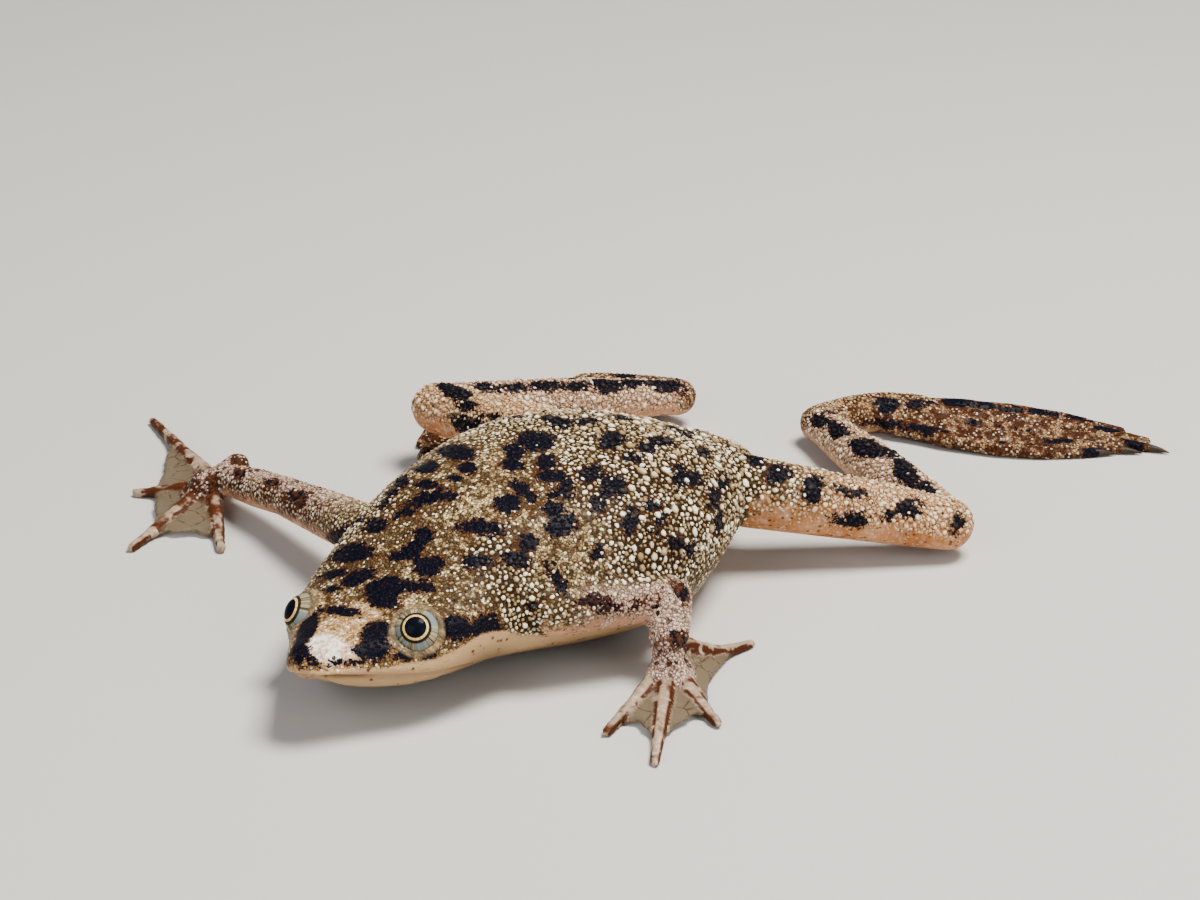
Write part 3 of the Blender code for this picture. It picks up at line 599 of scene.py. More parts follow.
def mesh_edges(mesh):
    """The mesh's edges as pairs of corner numbers."""
    flat = np.empty(len(mesh.edges) * 2, np.int64)
    mesh.edges.foreach_get("vertices", flat)
    return flat.reshape(-1, 2)


def relax(points, edges, passes, weight=1.0, back=-0.52):
    """Taubin smoothing: each corner moves half way to the mean of its neighbours, then a
    little more than half way back, which rubs out steps without shrinking."""
    count = len(points)
    number = np.bincount(edges.ravel(), minlength=count)[:, None]
    for step in (0.5, back) * passes:
        total = np.stack([
            np.bincount(edges[:, 0], points[edges[:, 1], k], count)
            + np.bincount(edges[:, 1], points[edges[:, 0], k], count) for k in range(3)], -1)
        points = points + step * weight * (total / number - points)
    return points


points, edges = mesh_points(fused), mesh_edges(fused)
points = relax(points, edges, 12)
points[:, 2] = np.maximum(points[:, 2], 0.0)
fused.vertices.foreach_set("co", points.ravel())

refine = bmesh.new()
refine.from_mesh(fused)
refine.verts.ensure_lookup_table()
skin_t, _, _ = body_place(points)
in_head = skin_t < HEAD_BACK
head_edges = [e for e in refine.edges if in_head[e.verts[0].index] and in_head[e.verts[1].index]]
bmesh.ops.subdivide_edges(refine, edges=head_edges, cuts=1, use_grid_fill=True)
bmesh.ops.triangulate(refine, faces=refine.faces[:])
refine.to_mesh(fused)
refine.free()
points, edges = mesh_points(fused), mesh_edges(fused)
skin_t, skin_side, skin_height = body_place(points)
head_weight = (skin_t < HEAD_BACK + 0.5).astype(float)[:, None]
points = relax(points, edges, 3, head_weight)

fused.vertices.foreach_set("co", (points * MM).ravel())
fused.shade_smooth()
fused.name = "skin"
skin = put_object("skin", fused)
FLESH_NODES = ["torso", "head", "lower_jaw"] + [
    part + "_" + side for side in ("left", "right")
    for part in ("upper_arm", "forearm", "hand", "thigh", "shin", "tarsus", "foot")]
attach(skin, "root")
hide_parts(*FLESH_NODES)


# Skin: head details -----------------------------------------------------------------------
# The eyeballs sit in shallow sockets inside their clear rings, the mouth is a narrow crease
# that ends behind the eyes, and two pin-prick nostrils open at the front of the snout.

MOUTH_DEPTH, MOUTH_WIDTH = 0.2, 0.11
SOCKET_WIDTH, SOCKET_SINK = 1.16, 0.18
NOSTRIL_DEPTH = 0.22
JAW_FULL, SNOUT_LIFT = 0.28, 0.38


def skin_normals():
    """Outward directions at the skin's corners."""
    fused.vertices.foreach_set("co", (points * MM).ravel())
    fused.update()
    flat = np.empty(len(points) * 3)
    fused.vertices.foreach_get("normal", flat)
    return flat.reshape(-1, 3)


def round_eye(centre, look):
    """How far the skin's corners lie along an eye's axis and off it."""
    away = points - centre
    out = away @ look
    return out, np.linalg.norm(away - out[:, None] * look, axis=1)


normals = skin_normals()
for centre, look, _, _ in eyes.values():
    out, off = round_eye(centre, look)
    ball = np.sqrt(np.maximum(EYE_RADIUS**2 - off**2, 0.0)) - SOCKET_SINK
    inside = (off < SOCKET_WIDTH) & (out > ball) & (out < 2.5)
    points[inside] -= (out - ball)[inside, None] * look

skin_t, skin_side, skin_height = body_place(points)
above_mouth = skin_height - (MOUTH_HEIGHT - MOUTH_FALL * skin_t)
reach_out = np.abs(skin_side) / np.maximum(half_width(skin_t, skin_height), 0.3)
in_mouth = ease((MOUTH_END - skin_t) / 0.8) * ease((reach_out - 0.5) / 0.3)
in_mouth *= ease((skin_height - 2.0) / 0.5)
crease = MOUTH_DEPTH * np.exp(-(above_mouth / MOUTH_WIDTH) ** 2) * in_mouth
points -= normals * crease[:, None]
chin = SNOUT_LIFT * np.exp(-((skin_t / 1.9) ** 2)) * ease((4.7 - skin_height) / 0.9)
points[:, 2] += chin
jaw = JAW_FULL * np.exp(-((skin_t - 5.0) / 2.4) ** 2 - ((skin_height - 2.7) / 0.8) ** 2)
points += normals * (jaw * ease((reach_out - 0.3) / 0.3))[:, None]
for sign in (1.0, -1.0):
    top = upper_height(np.array([NOSTRIL_AT]), np.array([NOSTRIL_SIDE]))[0]
    nostril = on_body(NOSTRIL_AT, sign * NOSTRIL_SIDE, top)
    gap = np.linalg.norm(points - nostril, axis=1)
    points -= normals * (NOSTRIL_DEPTH * np.exp(-(gap / NOSTRIL_RADIUS) ** 2))[:, None]
normals = skin_normals()


# Markings ---------------------------------------------------------------------------------
# Olive-tan skin with navy-black blotches, ragged and rimmed with rusty brown, pearly beads,
# pale lips and belly and pinkish undersides. Fields over the skin say where each begins.

# What each place of the skin belongs to: the trunk or the nearest round of flesh
w, mid, top, low = smooth(np.clip(skin_t, 0.0, BODY_LENGTH), SECTIONS).T
lift = skin_height - mid
reach = np.maximum(np.where(lift > 0, top - mid, mid - low), 0.05)
trunk_near = (
    (np.abs(skin_side) / np.maximum(w, 0.05)) ** SECTION_POWER
    + (np.abs(lift) / reach) ** SECTION_POWER) ** (1.0 / SECTION_POWER)
trunk_near = np.where((skin_t < -0.3) | (skin_t > BODY_LENGTH + 0.3), 9.0, trunk_near)

limb_near = np.full(len(points), 9.0)
limb_share, limb_lift, limb_edge, limb_turn = np.zeros((4, len(points)))
limb_part = np.full(len(points), -1)
for number, (kind, side, path, size) in enumerate(rounds):
    reach = size.max() + 1.0
    in_box = (points > path.min(0) - reach) & (points < path.max(0) + reach)
    close = np.flatnonzero(in_box.all(1))
    away = points[close, None, :] - path[None]
    ratio = np.linalg.norm(away, axis=2) / size[None]
    best = ratio.argmin(1)
    near = ratio[np.arange(len(close)), best]
    closer = near < limb_near[close]
    mine, best, near = close[closer], best[closer], near[closer]
    way = np.gradient(path, axis=0)
    level = unit(np.cross(way, (0.0, 0.0, 1.0)))
    away = points[mine] - path[best]
    limb_near[mine] = near
    limb_part[mine] = number
    limb_share[mine] = best / (len(path) - 1)
    limb_lift[mine] = away[:, 2] / size[best]
    limb_edge[mine] = np.abs((away * level[best]).sum(1)) / size[best]
    limb_turn[mine] = np.arctan2(away[:, 2], (away * level[best]).sum(1))

kinds = np.array([kind for kind, _, _, _ in rounds] + ["none"])
limb_kind = kinds[limb_part]
on_limb = ease((trunk_near - 1.0) / 0.12) * (limb_near < 1.6)
is_digit = np.isin(limb_kind, ("finger", "toe"))
digit = ease((1.35 - limb_near) / 0.2) * is_digit * on_limb
web = ease((limb_near - 1.12) / 0.25) * ease((trunk_near - 1.15) / 0.1) * (limb_near < 8.0)
web *= points[:, 2] < 1.6

# The height where the pattern gives way to the pale underside, by distance from the snout
PALE_LINE = (
    (0.0, 4.75), (1.0, 4.5), (2.0, 4.15), (3.0, 3.9), (4.5, 3.75), (6.0, 3.65), (7.2, 3.85),
    (8.2, 4.15), (9.6, 4.15), (12.0, 3.5), (17.0, 3.7),
    (21.0, 3.0), (26.0, 2.5), (31.0, 2.9), (36.0, 3.6))

# How high the tan underside reaches on each kind of flesh, how brown it is and how beady
TAN_LINES = {"thigh": 0.12, "shin": -0.1, "tarsus": -0.45, "sole": -0.45, "toe": -0.45}
BROWNS = {"upper_arm": 0.3, "forearm": 0.25, "palm": 0.46, "finger": 0.15, "thigh": 0.08,
          "shin": 0.0, "tarsus": 0.56, "sole": 0.6, "toe": 0.6}
BEADY = {"thigh": 0.55, "shin": 0.55, "upper_arm": 0.24, "forearm": 0.24, "tarsus": 0.16}


def by_kind(values, otherwise):
    """The value that each corner's kind of flesh has in a table."""
    return np.select([limb_kind == kind for kind in values], list(values.values()), otherwise)


pale = smooth(np.clip(skin_t, 0.0, BODY_LENGTH), PALE_LINE)[:, 0] - skin_height
pale = np.where(on_limb > 0.5, -2.0, pale)
on_foot = np.isin(limb_kind, ("tarsus", "sole", "toe"))
tan = np.where(on_limb > 0.3, (by_kind(TAN_LINES, -0.3) - limb_lift) * 1.1, -2.0)
tan = np.where((web > 0.3) | is_digit, -2.0, tan)

# How brown each part of the limbs is, and which paint it has
at_root = np.isin(limb_kind, ("upper_arm", "thigh"))
limb = ease((trunk_near - 0.98) / 0.14) * (limb_near < 9.0)
limb *= np.where(at_root, ease((limb_share - 0.08) / 0.5), 1.0)
leg = (limb_kind == "thigh") + 0.45 * (limb_kind == "shin")
on_left = np.array([side == "left" for _, side, _, _ in rounds] + [True])[limb_part]
far_arm = ~on_left & (leg == 0.0) & ~on_foot
brown = by_kind(BROWNS, 0.3) + (0.12 + 0.3 * ease((limb_edge - 0.45) / 0.4)) * far_arm
foot = on_foot * 1.0
digit = digit * ~on_foot

# Dark blotches as the camera sees them: place in the picture, half length, half width, slant
BLOTCHES = (
    # head
    (339, 536, 13, 7, 32), (350, 553, 19, 8, 8), (331, 574, 13, 4, 15), (357, 577, 16, 6, 22),
    (332, 589, 9, 3, 15), (338, 611, 18, 4, -5), (424, 535, 9, 8, 0), (411, 551, 13, 8, 30),
    (399, 556, 9, 5, 0), (428, 566, 14, 8, 10), (417, 559, 11, 6, -35), (384, 591, 17, 11, 15),
    (384, 604, 11, 5, 0), (402, 586, 14, 5, 10), (422, 587, 12, 6, -10), (376, 634, 13, 12, 30),
    (372, 649, 17, 9, 5), (350, 663, 24, 3, 4), (395, 634, 6, 9, 0), (457, 628, 18, 10, -8),
    (488, 628, 13, 11, 20), (306, 630, 19, 7, 62), (300, 650, 10, 5, 85), (311, 660, 9, 4, -40),
    (405, 656, 12, 4, 0), (432, 659, 10, 4, -5), (296, 657, 8, 4, -60),
    # neck and front of the back
    (481, 527, 22, 6, -3), (479, 561, 13, 8, 0), (374, 526, 11, 6, 20), (357, 521, 12, 3, 15),
    (385, 503, 8, 4, 40), (392, 492, 7, 4, 40), (401, 481, 6, 7, 0), (430, 498, 23, 6, 12),
    (404, 513, 12, 3, 20), (426, 467, 11, 6, 15), (455, 451, 17, 8, -10), (467, 424, 14, 8, -15),
    (467, 467, 8, 7, 0), (456, 478, 8, 3, 0), (425, 484, 10, 4, 0), (490, 417, 10, 3, 0),
    (515, 452, 9, 9, 0), (513, 464, 9, 6, 0), (523, 490, 17, 5, -35), (507, 503, 11, 8, 0),
    (517, 560, 14, 8, -15), (528, 542, 9, 8, 0), (556, 579, 16, 6, -58), (531, 606, 5, 3, 0),
    # back and rump
    (534, 440, 15, 9, -5), (549, 440, 8, 7, 0), (547, 462, 9, 7, 0), (552, 476, 14, 5, 0),
    (559, 495, 13, 5, 0), (568, 486, 6, 5, 0), (554, 509, 10, 8, 0), (561, 525, 13, 11, 30),
    (592, 473, 11, 8, 10), (614, 486, 12, 10, 0), (597, 504, 7, 8, 0), (630, 521, 13, 8, 80),
    (652, 505, 7, 6, 0), (661, 521, 9, 5, 70), (680, 475, 11, 7, 85), (694, 478, 7, 7, 0),
    (663, 441, 14, 5, -5), (648, 447, 9, 5, 0), (630, 458, 9, 5, 0), (612, 440, 12, 9, 10),
    (680, 431, 13, 5, -35), (705, 452, 6, 6, 0), (620, 417, 9, 5, 0), (588, 421, 9, 5, 0),
    (558, 421, 14, 6, -20), (515, 417, 8, 5, 0), (724, 482, 7, 5, 90), (714, 497, 8, 6, 90),
    (719, 521, 10, 5, 90), (676, 545, 8, 8, 0), (691, 549, 7, 6, 0), (597, 553, 7, 7, 0),
    # near leg
    (756, 459, 8, 5, 0), (779, 473, 11, 8, 0), (814, 487, 13, 9, 80), (851, 491, 13, 4, -15),
    (850, 521, 16, 6, 5), (909, 508, 11, 8, 0), (889, 515, 6, 4, 0), (959, 523, 10, 5, 85),
    (820, 420, 11, 6, -10), (837, 428, 12, 7, -25), (868, 447, 16, 8, -15),
    (897, 454, 13, 6, -25), (907, 470, 14, 9, -50), (926, 489, 11, 8, -45), (886, 404, 12, 7, 0),
    (955, 401, 14, 7, -12), (985, 406, 14, 5, -6), (1012, 411, 14, 5, -6), (1045, 415, 16, 5, -8),
    (1078, 421, 14, 5, -10), (1108, 430, 13, 6, -14), (1134, 442, 11, 6, -20),
    (925, 402, 13, 4, 0), (972, 424, 9, 4, 0), (1096, 456, 10, 5, 0), (1060, 440, 12, 3, -5),
    (1015, 430, 14, 3, -5), (930, 428, 18, 4, -5), (885, 424, 12, 4, -10),
    # far leg and arms
    (455, 389, 16, 7, -20), (467, 404, 10, 5, 0), (485, 386, 10, 5, 0), (545, 385, 17, 5, 0),
    (607, 384, 13, 6, 0), (625, 375, 10, 4, 0), (663, 383, 15, 5, -5), (685, 392, 4, 3, 0),
    (510, 376, 12, 4, 0), (512, 387, 15, 4, 0), (577, 385, 12, 4, 0), (634, 382, 12, 4, 0),
    (297, 497, 12, 7, -20), (272, 482, 7, 4, 0), (240, 472, 6, 4, 0), (683, 640, 10, 6, -60),
    (686, 660, 8, 6, 80), (590, 600, 17, 6, 10), (613, 607, 9, 4, 20), (643, 602, 12, 4, 25),
    (683, 590, 12, 5, -60), (660, 600, 9, 3, 70),
)
BLOTCH_GROWTH = 1.24
STEEPEST, LONGEST = 0.35, 2.4
BLOTCH_TRIES, BLOTCH_GAP, SPOT_CLEAR = 420, 1.75, -0.75

skin_tree = BVHTree.FromPolygons(
    points.tolist(), [list(f.vertices) for f in fused.polygons], all_triangles=True)


def cast(pixel):
    """Where a place of the picture lies on the skin, and the skin's direction there."""
    way = rays_through(np.array(pixel[:2], float))
    hit, normal, _, _ = skin_tree.ray_cast(Vector(camera_place), Vector(way))
    return (None, None) if hit is None else (np.array(hit), np.array(normal))


def patch_field(place, normal, long_way, wide_way):
    """Distance in mm inside (above 0) or outside an oval on the skin, whose two half axes lie
    in the plane square to the normal: one less the scaled radius, times the half width."""
    away = points - place
    basis = np.linalg.pinv(np.stack((long_way, wide_way), 1))
    flat = away @ basis.T
    depth = (away @ normal) / 1.3
    radius = np.sqrt((flat**2).sum(1) + depth**2)
    return (1.0 - radius) * min(np.linalg.norm(long_way), np.linalg.norm(wide_way))


def oval_axes(pixel, place, normal):
    """The half axes on the skin of an oval that is given in the picture: the picture's right
    and up directions are carried along the view onto the skin's plane."""
    _, _, long_half, wide_half, slant = pixel
    view = place - camera_place
    distance = np.linalg.norm(view)
    view = view / distance
    steep = min(normal @ view, -STEEPEST)
    axes_there = []
    for turn, half in ((slant, long_half), (slant + 90.0, wide_half)):
        turn = math.radians(turn)
        way = camera_right * math.cos(turn) + camera_up * math.sin(turn)
        way = way - view * (way @ normal) / steep
        way -= normal * (way @ normal)
        size = half * BLOTCH_GROWTH * distance / FOCAL_PIXELS
        stretch = min(np.linalg.norm(way), LONGEST)
        axes_there.append(way / np.linalg.norm(way) * stretch * size)
    return axes_there


def picture_patch(pixel):
    """The patch field of an oval that is given in the picture, -1 where it misses the skin."""
    place, normal = cast(pixel)
    if place is None:
        return np.full(len(points), -1.0)
    return patch_field(place, normal, *oval_axes(pixel, place, normal))


spot = np.full(len(points), -1.0)
for pixel in BLOTCHES:
    spot = np.maximum(spot, picture_patch(pixel))

# The sides that the camera can't see carry seeded blotches of the same kind and spacing
rng = np.random.default_rng(7)
facing = (normals * unit(camera_place - points)).sum(1)
hidden = (facing < 0.12) & (normals[:, 2] > -0.25) & (pale < -0.4) & (tan < 0.0) & (web < 0.3)
choice = rng.choice(np.flatnonzero(hidden), BLOTCH_TRIES, replace=False)
seeded = []
for index in choice:
    place, normal = points[index], normals[index]
    crowded = any(np.linalg.norm(place - other) < BLOTCH_GAP for other in seeded)
    if crowded or spot[index] > SPOT_CLEAR:
        continue
    seeded.append(place)
    angle = rng.uniform(0.0, math.pi)
    first = unit(np.cross(normal, (0.3, 0.9, 0.2)))
    second = np.cross(normal, first)
    long_way = first * math.cos(angle) + second * math.sin(angle)
    wide_way = np.cross(normal, long_way)
    half = rng.uniform(0.28, 0.52)
    slender = rng.uniform(1.0, 2.0)
    spot = np.maximum(
        spot, patch_field(place, normal, long_way * half * slender, wide_way * half))
spot = np.where(web > 0.5, -1.0, spot)

# The creamy patch on the snout and the pale rear of the cheek
SNOUT_PATCH = ((324, 647, 23, 13, -12), (352, 652, 10, 8, 0), (348, 622, 26, 9, 20))
snout = np.full(len(points), -1.0)
for pixel in SNOUT_PATCH:
    patch = picture_patch(pixel)
    snout = np.maximum(snout, np.minimum(patch, 0.0) if pixel[1] < 630 else patch)

# Clear skin of the ring around each eye
lid = np.zeros(len(points))
for centre, look, _, _ in eyes.values():
    out, off = round_eye(centre, look)
    lid = np.maximum(lid, ease((1.6 - off) / 0.16) * (out > -0.2))

BLEND_PASSES = 24

# How large and close the pearly beads are, 0 to 1
rear = ease((skin_t - 15.5) / 8.5)
middle = np.exp(-(skin_side / 3.4) ** 2) * ease((26.0 - skin_t) / 6.0)
far_shoulder = np.exp(-((skin_t - 11.5) / 3.2) ** 2) * ease((-skin_side - 1.8) / 2.0)
near_shoulder = np.exp(-((skin_t - 12.0) / 2.6) ** 2) * ease((skin_side - 2.6) / 1.6)
bead = 0.115 + 0.885 * rear * (1.0 - 0.62 * middle) * ease((skin_height - 3.2) / 3.5)
bead = np.maximum(bead, 0.5 * far_shoulder)
bead = np.maximum(bead, 0.52 * near_shoulder)
bead *= ease((skin_t - 2.5) / 5.0)
limb_bead = by_kind(BEADY, 0.0)
limb_bead -= 0.06 * (far_arm & np.isin(limb_kind, ("upper_arm", "forearm")))
limb_bead *= ease((limb_lift + 0.45) / 0.6)
bead = np.where(on_limb > 0.5, limb_bead, bead)
bead *= (1.0 - digit) * (1.0 - web) * (1.0 - lid) * ease((0.1 - pale) / 0.4)
bead *= ease((0.45 - tan) / 0.6)

# The parts meet softly: these fields are evened out over the neighbouring corners
leg, foot, brown = relax(np.stack((leg, foot, brown), -1), edges, BLEND_PASSES, back=0.0).T
limb = relax(np.stack((limb,) * 3, -1), edges, BLEND_PASSES, back=0.0)[:, 0]

SKIN_FIELDS = {
    "spot": spot, "pale": pale, "tan": tan, "web": web, "digit": digit,
    "edge": limb_edge * digit, "lid": lid, "snout": snout, "bead": bead,
    "limb": limb, "leg": leg, "foot": foot, "brown": brown,
    "crease": crease / MOUTH_DEPTH * (0.12 + 0.8 * ease((3.3 - skin_t) / 1.2)),
}


def put_fields(mesh, fields, rows=None):
    """Store named fields on the mesh's corners, repeated by rows where it is given."""
    for name, values in fields.items():
        layer = mesh.attributes.new(name, "FLOAT", "POINT")
        values = values if rows is None else values[rows]
        layer.data.foreach_set("value", np.ascontiguousarray(values, np.float32))


put_fields(fused, SKIN_FIELDS)


# Skin paint -------------------------------------------------------------------------------
# Thin glazes over fine moulded granules, satin as damp skin. One node group turns the fields
# into colour, roughness and relief, so that the beads carry the same markings as the skin.

def feed(target, value):
    """Give an input a link, a number or a paint, which may be named."""
    if isinstance(value, bpy.types.NodeSocket):
        target.id_data.links.new(value, target)
    else:
        value = PAINT.get(value, value)
        target.default_value = (*value, 1.0) if isinstance(value, tuple) else value


def node_by(kind, *values):
    """A new node in the tree of the first link among the values."""
    tree = next(value.id_data for value in values if isinstance(value, bpy.types.NodeSocket))
    return tree.nodes.new(kind)


def calculate(operation, first, second):
    """One sum, product or comparison of two values."""
    made = node_by("ShaderNodeMath", first, second)
    made.operation = operation
    feed(made.inputs[0], first)
    feed(made.inputs[1], second)
    return made.outputs[0]


plus, minus, times, larger = (
    partial(calculate, operation) for operation in ("ADD", "SUBTRACT", "MULTIPLY", "MAXIMUM"))


def between(value, low, high, start=0.0, end=1.0):
    """A smooth step of the value from low to high, giving start to end."""
    made = node_by("ShaderNodeMapRange", value)
    made.interpolation_type = "SMOOTHSTEP"
    for place, number in enumerate((value, low, high, start, end)):
        feed(made.inputs[place], number)
    return made.outputs[0]


def blend(share, first, second):
    """One colour laid over another."""
    made = node_by("ShaderNodeMix", share)
    made.data_type = "RGBA"
    for place, value in ((0, share), (6, first), (7, second)):
        feed(made.inputs[place], value)
    return made.outputs[2]


def noise(vector, scale, detail=3.0, rough=0.55):
    """Cloudy noise from 0 to 1 whose lumps are 1 / scale metres wide."""
    made = node_by("ShaderNodeTexNoise", vector)
    for name, value in (("Vector", vector), ("Scale", scale), ("Detail", detail),
                        ("Roughness", rough)):
        feed(made.inputs[name], value)
    return made.outputs["Fac"]


def cells(vector, scale, feature="F1"):
    """Round cells 1 / scale metres wide: outputs of the Voronoi texture."""
    made = node_by("ShaderNodeTexVoronoi", vector)
    made.feature = feature
    feed(made.inputs["Vector"], vector)
    feed(made.inputs["Scale"], scale)
    return made.outputs


def field_node(tree, name):
    """The value of one of the mesh's fields."""
    made = tree.nodes.new("ShaderNodeAttribute")
    made.attribute_name = name
    return made.outputs["Fac"]


def centred(value, amount):
    """The value less a half, times the amount."""
    return times(minus(value, 0.5), amount)


# The gap colour serves as painted shade between granules and beads, and as the real colour of dark
# specks and dots
PAINT = {
    "gap": (0.016, 0.007, 0.002), "olive": (0.090, 0.053, 0.021), "sand": (0.76, 0.57, 0.29),
    "rust": (0.12, 0.034, 0.008), "ink": (0.0012, 0.0020, 0.0065), "cream": (0.45, 0.30, 0.15),
    "underside_shade": (0.19, 0.115, 0.05), "blush": (0.47, 0.24, 0.135), "brown": (0.066, 0.018, 0.006),
    "peach": (0.74, 0.42, 0.215), "rose": (0.62, 0.42, 0.335), "tan": (0.34, 0.115, 0.026),
    "foot": (0.42, 0.25, 0.125), "web": (0.16, 0.12, 0.075), "finger": (0.30, 0.225, 0.15),
    "chalk": (1.0, 0.92, 0.79), "amber": (0.66, 0.38, 0.15), "clear": (0.15, 0.12, 0.070),
    "bead": (0.52, 0.35, 0.155), "pearl": (1.0, 0.95, 0.74), "line": (0.050, 0.014, 0.004),
}

# Cells to the metre of the granules, painted highlight glints, dark specks, dots and veins
GRAINS, GLINTS, SPECKS, DOTS, VEINS = 4900.0, 3900.0, 2300.0, 2500.0, 720.0

marks = bpy.data.node_groups.new("frog_marks", "ShaderNodeTree")
for name in list(SKIN_FIELDS) + ["bead_light_and_highlight"]:
    marks.interface.new_socket(name, in_out="INPUT", socket_type="NodeSocketFloat")
for name, kind in (("Colour", "Color"), ("Rough", "Float"), ("Relief", "Float")):
    marks.interface.new_socket(name, in_out="OUTPUT", socket_type="NodeSocket" + kind)
given = marks.nodes.new("NodeGroupInput").outputs
where = marks.nodes.new("ShaderNodeTexCoord").outputs["Object"]

fringe = noise(where, 3800.0, 4.0, 0.75)
drift = noise(where, 1100.0, 2.0)
clouds = noise(where, 330.0, 3.0)
speckle = noise(where, 2300.0, 3.0, 0.6)
grains = cells(where, GRAINS)
seams = cells(where, GRAINS, "DISTANCE_TO_EDGE")["Distance"]
grain_tone = centred(grains["Color"], 1.0)

ragged = plus(centred(fringe, 1.5), plus(centred(drift, 0.7), times(grain_tone, 0.25)))
spot_depth = plus(given["spot"], ragged)
ink = between(spot_depth, 0.0, 0.045)
rim = between(spot_depth, -0.13, 0.0)

# Trunk: olive to sandy granules, warmed here and there, with dark specks; the seams between
# granules get painted shade
tone = plus(times(grain_tone, 0.55), plus(centred(speckle, 1.3), centred(clouds, 0.8)))
colour = blend(between(tone, -0.08, 0.34), "olive", "sand")
golden = between(given["bead"], 0.02, 0.11, 0.6, 0.0)
colour = blend(times(golden, between(tone, -0.2, 0.1, 0.4, 1.0)), colour, "amber")
warm = between(drift, 0.5, 0.68, 0.0, 0.5)
colour = blend(warm, colour, "rust")

# Limbs: rose arms, tan legs and brown feet, each mottled with as much brown as it has
limb_light = blend(given["leg"], "rose", "peach")
limb_light = blend(given["foot"], limb_light, "foot")
mottle = plus(plus(times(grain_tone, 0.3), centred(drift, 1.1)),
              plus(centred(speckle, 0.9), given["brown"]))
limb_colour = blend(between(mottle, 0.35, 0.65), limb_light, "brown")
colour = blend(given["limb"], colour, limb_colour)

# Painted shade: the skin between dense beads darkens towards the gap colour, less on the limbs
bead_gap_shade = times(between(given["bead"], 0.12, 0.6),
                     between(given["limb"], 0.0, 1.0, 0.93, 0.28))
colour = blend(bead_gap_shade, colour, "gap")
# Painted shade in the seams between the granules, in the dark gap colour
seam_shade = between(seams, 0.02, 0.22, 0.85, 0.0)
colour = blend(seam_shade, colour, "gap")
# Painted highlights: small glints on the granules in the pearl colour, weaker on the limbs
glints = cells(where, GLINTS)
glint = times(between(glints["Distance"], 0.36, 0.24), between(glints["Color"], 0.56, 0.6))
glint = times(glint, minus(0.9, times(given["limb"], 0.45)))
colour = blend(glint, colour, "pearl")
specks = cells(where, SPECKS)
speck = times(between(specks["Distance"], 0.26, 0.16), between(specks["Color"], 0.6, 0.56))
colour = blend(times(speck, 0.85), colour, "gap")

# Tan undersides of the limbs and cream lips and belly, with tiny dots
soft = centred(drift, 0.9)
dots = cells(where, DOTS)
dot = times(between(dots["Distance"], 0.32, 0.2), between(dots["Color"], 0.62, 0.58))
under = blend(given["leg"], "blush", "tan")
under = blend(between(clouds, 0.36, 0.62, 0.0, 0.35), under, "peach")
under = blend(between(speckle, 0.45, 0.7, 0.0, 0.45), under, "rose")
# Painted highlights: fainter glints on the undersides too
under = blend(times(glint, 0.4), under, "pearl")
under = blend(times(dot, 0.8), under, "gap")
tan_share = between(plus(given["tan"], plus(soft, ragged)), -0.45, 0.45, 0.0, 0.92)
colour = blend(tan_share, colour, under)
belly = blend(between(clouds, 0.35, 0.75, 0.0, 0.6), "cream", "blush")
# Painted shade: belly and throat turn a deeper tan the lower they lie below the pale line
belly = blend(between(given["pale"], 0.5, 2.0), belly, "underside_shade")
few = times(dot, between(drift, 0.44, 0.5, 0.0, 0.85))
belly = blend(few, belly, "brown")
pale_share = between(plus(given["pale"], times(ragged, 0.35)), -0.06, 0.12)
colour = blend(pale_share, colour, belly)
chalk = blend(between(speckle, 0.4, 0.54), "rose", "chalk")
snout_depth = plus(given["snout"], times(ragged, 1.5))
chalk = blend(between(snout_depth, 0.0, 0.3), "amber", chalk)
chalk_share = plus(between(snout_depth, -0.45, 0.0, 0.0, 0.5),
                   between(snout_depth, 0.0, 0.25, 0.0, 0.45))
colour = blend(chalk_share, colour, chalk)

# Rusty rims and ink of the blotches
no_under = minus(1.0, times(pale_share, 0.95))
colour = blend(times(times(rim, no_under), 0.6), colour, "rust")
ink = times(ink, no_under)
arm = times(given["limb"], between(larger(given["leg"], given["foot"]), 0.1, 0.4, 1.0, 0.0))
rusty = times(plus(times(arm, 0.5), 0.03), between(speckle, 0.42, 0.6))
ink_colour = blend(rusty, "ink", "rust")
colour = blend(ink, colour, ink_colour)

# Beads are cream to pearl with a painted highlight at the tip; only a few stay light in the ink
# Painted highlight: the higher up the bead, the more it turns pearl
tip = plus(given["bead_light_and_highlight"], centred(speckle, 0.8))
bead_colour = blend(between(tip, 0.42, 0.82), "bead", "pearl")
bead_colour = blend(times(given["limb"], 0.4), bead_colour, limb_light)
stay = between(given["bead_light_and_highlight"], 0.93, 0.95)
dark_bead = times(ink, minus(0.97, times(stay, 0.9)))
bead_share = times(given["bead_light_and_highlight"], minus(1.0, dark_bead))
colour = blend(bead_share, colour, bead_colour)

# Fingers beige with broken brown lines along both sides, webs clear with fine veins
finger_colour = blend(between(speckle, 0.45, 0.7, 0.0, 0.7), "finger", "rose")
finger_brown = between(plus(centred(drift, 1.6), times(given["brown"], 0.7)), 0.1, 0.45)
finger_colour = blend(finger_brown, finger_colour, "brown")
line = times(between(given["edge"], 0.4, 0.72), between(drift, 0.36, 0.46))
finger_colour = blend(line, finger_colour, "line")
colour = blend(given["digit"], colour, finger_colour)
veins = cells(where, VEINS, "DISTANCE_TO_EDGE")["Distance"]
vein = times(between(veins, 0.05, 0.015), between(fringe, 0.4, 0.55, 0.0, 0.7))
web_colour = blend(vein, "web", "line")
hand_web = times(given["web"], minus(1.0, given["foot"]))
colour = blend(hand_web, colour, web_colour)

lid_colour = blend(between(speckle, 0.44, 0.68), "clear", "cream")
colour = blend(times(given["lid"], 0.66), colour, lid_colour)
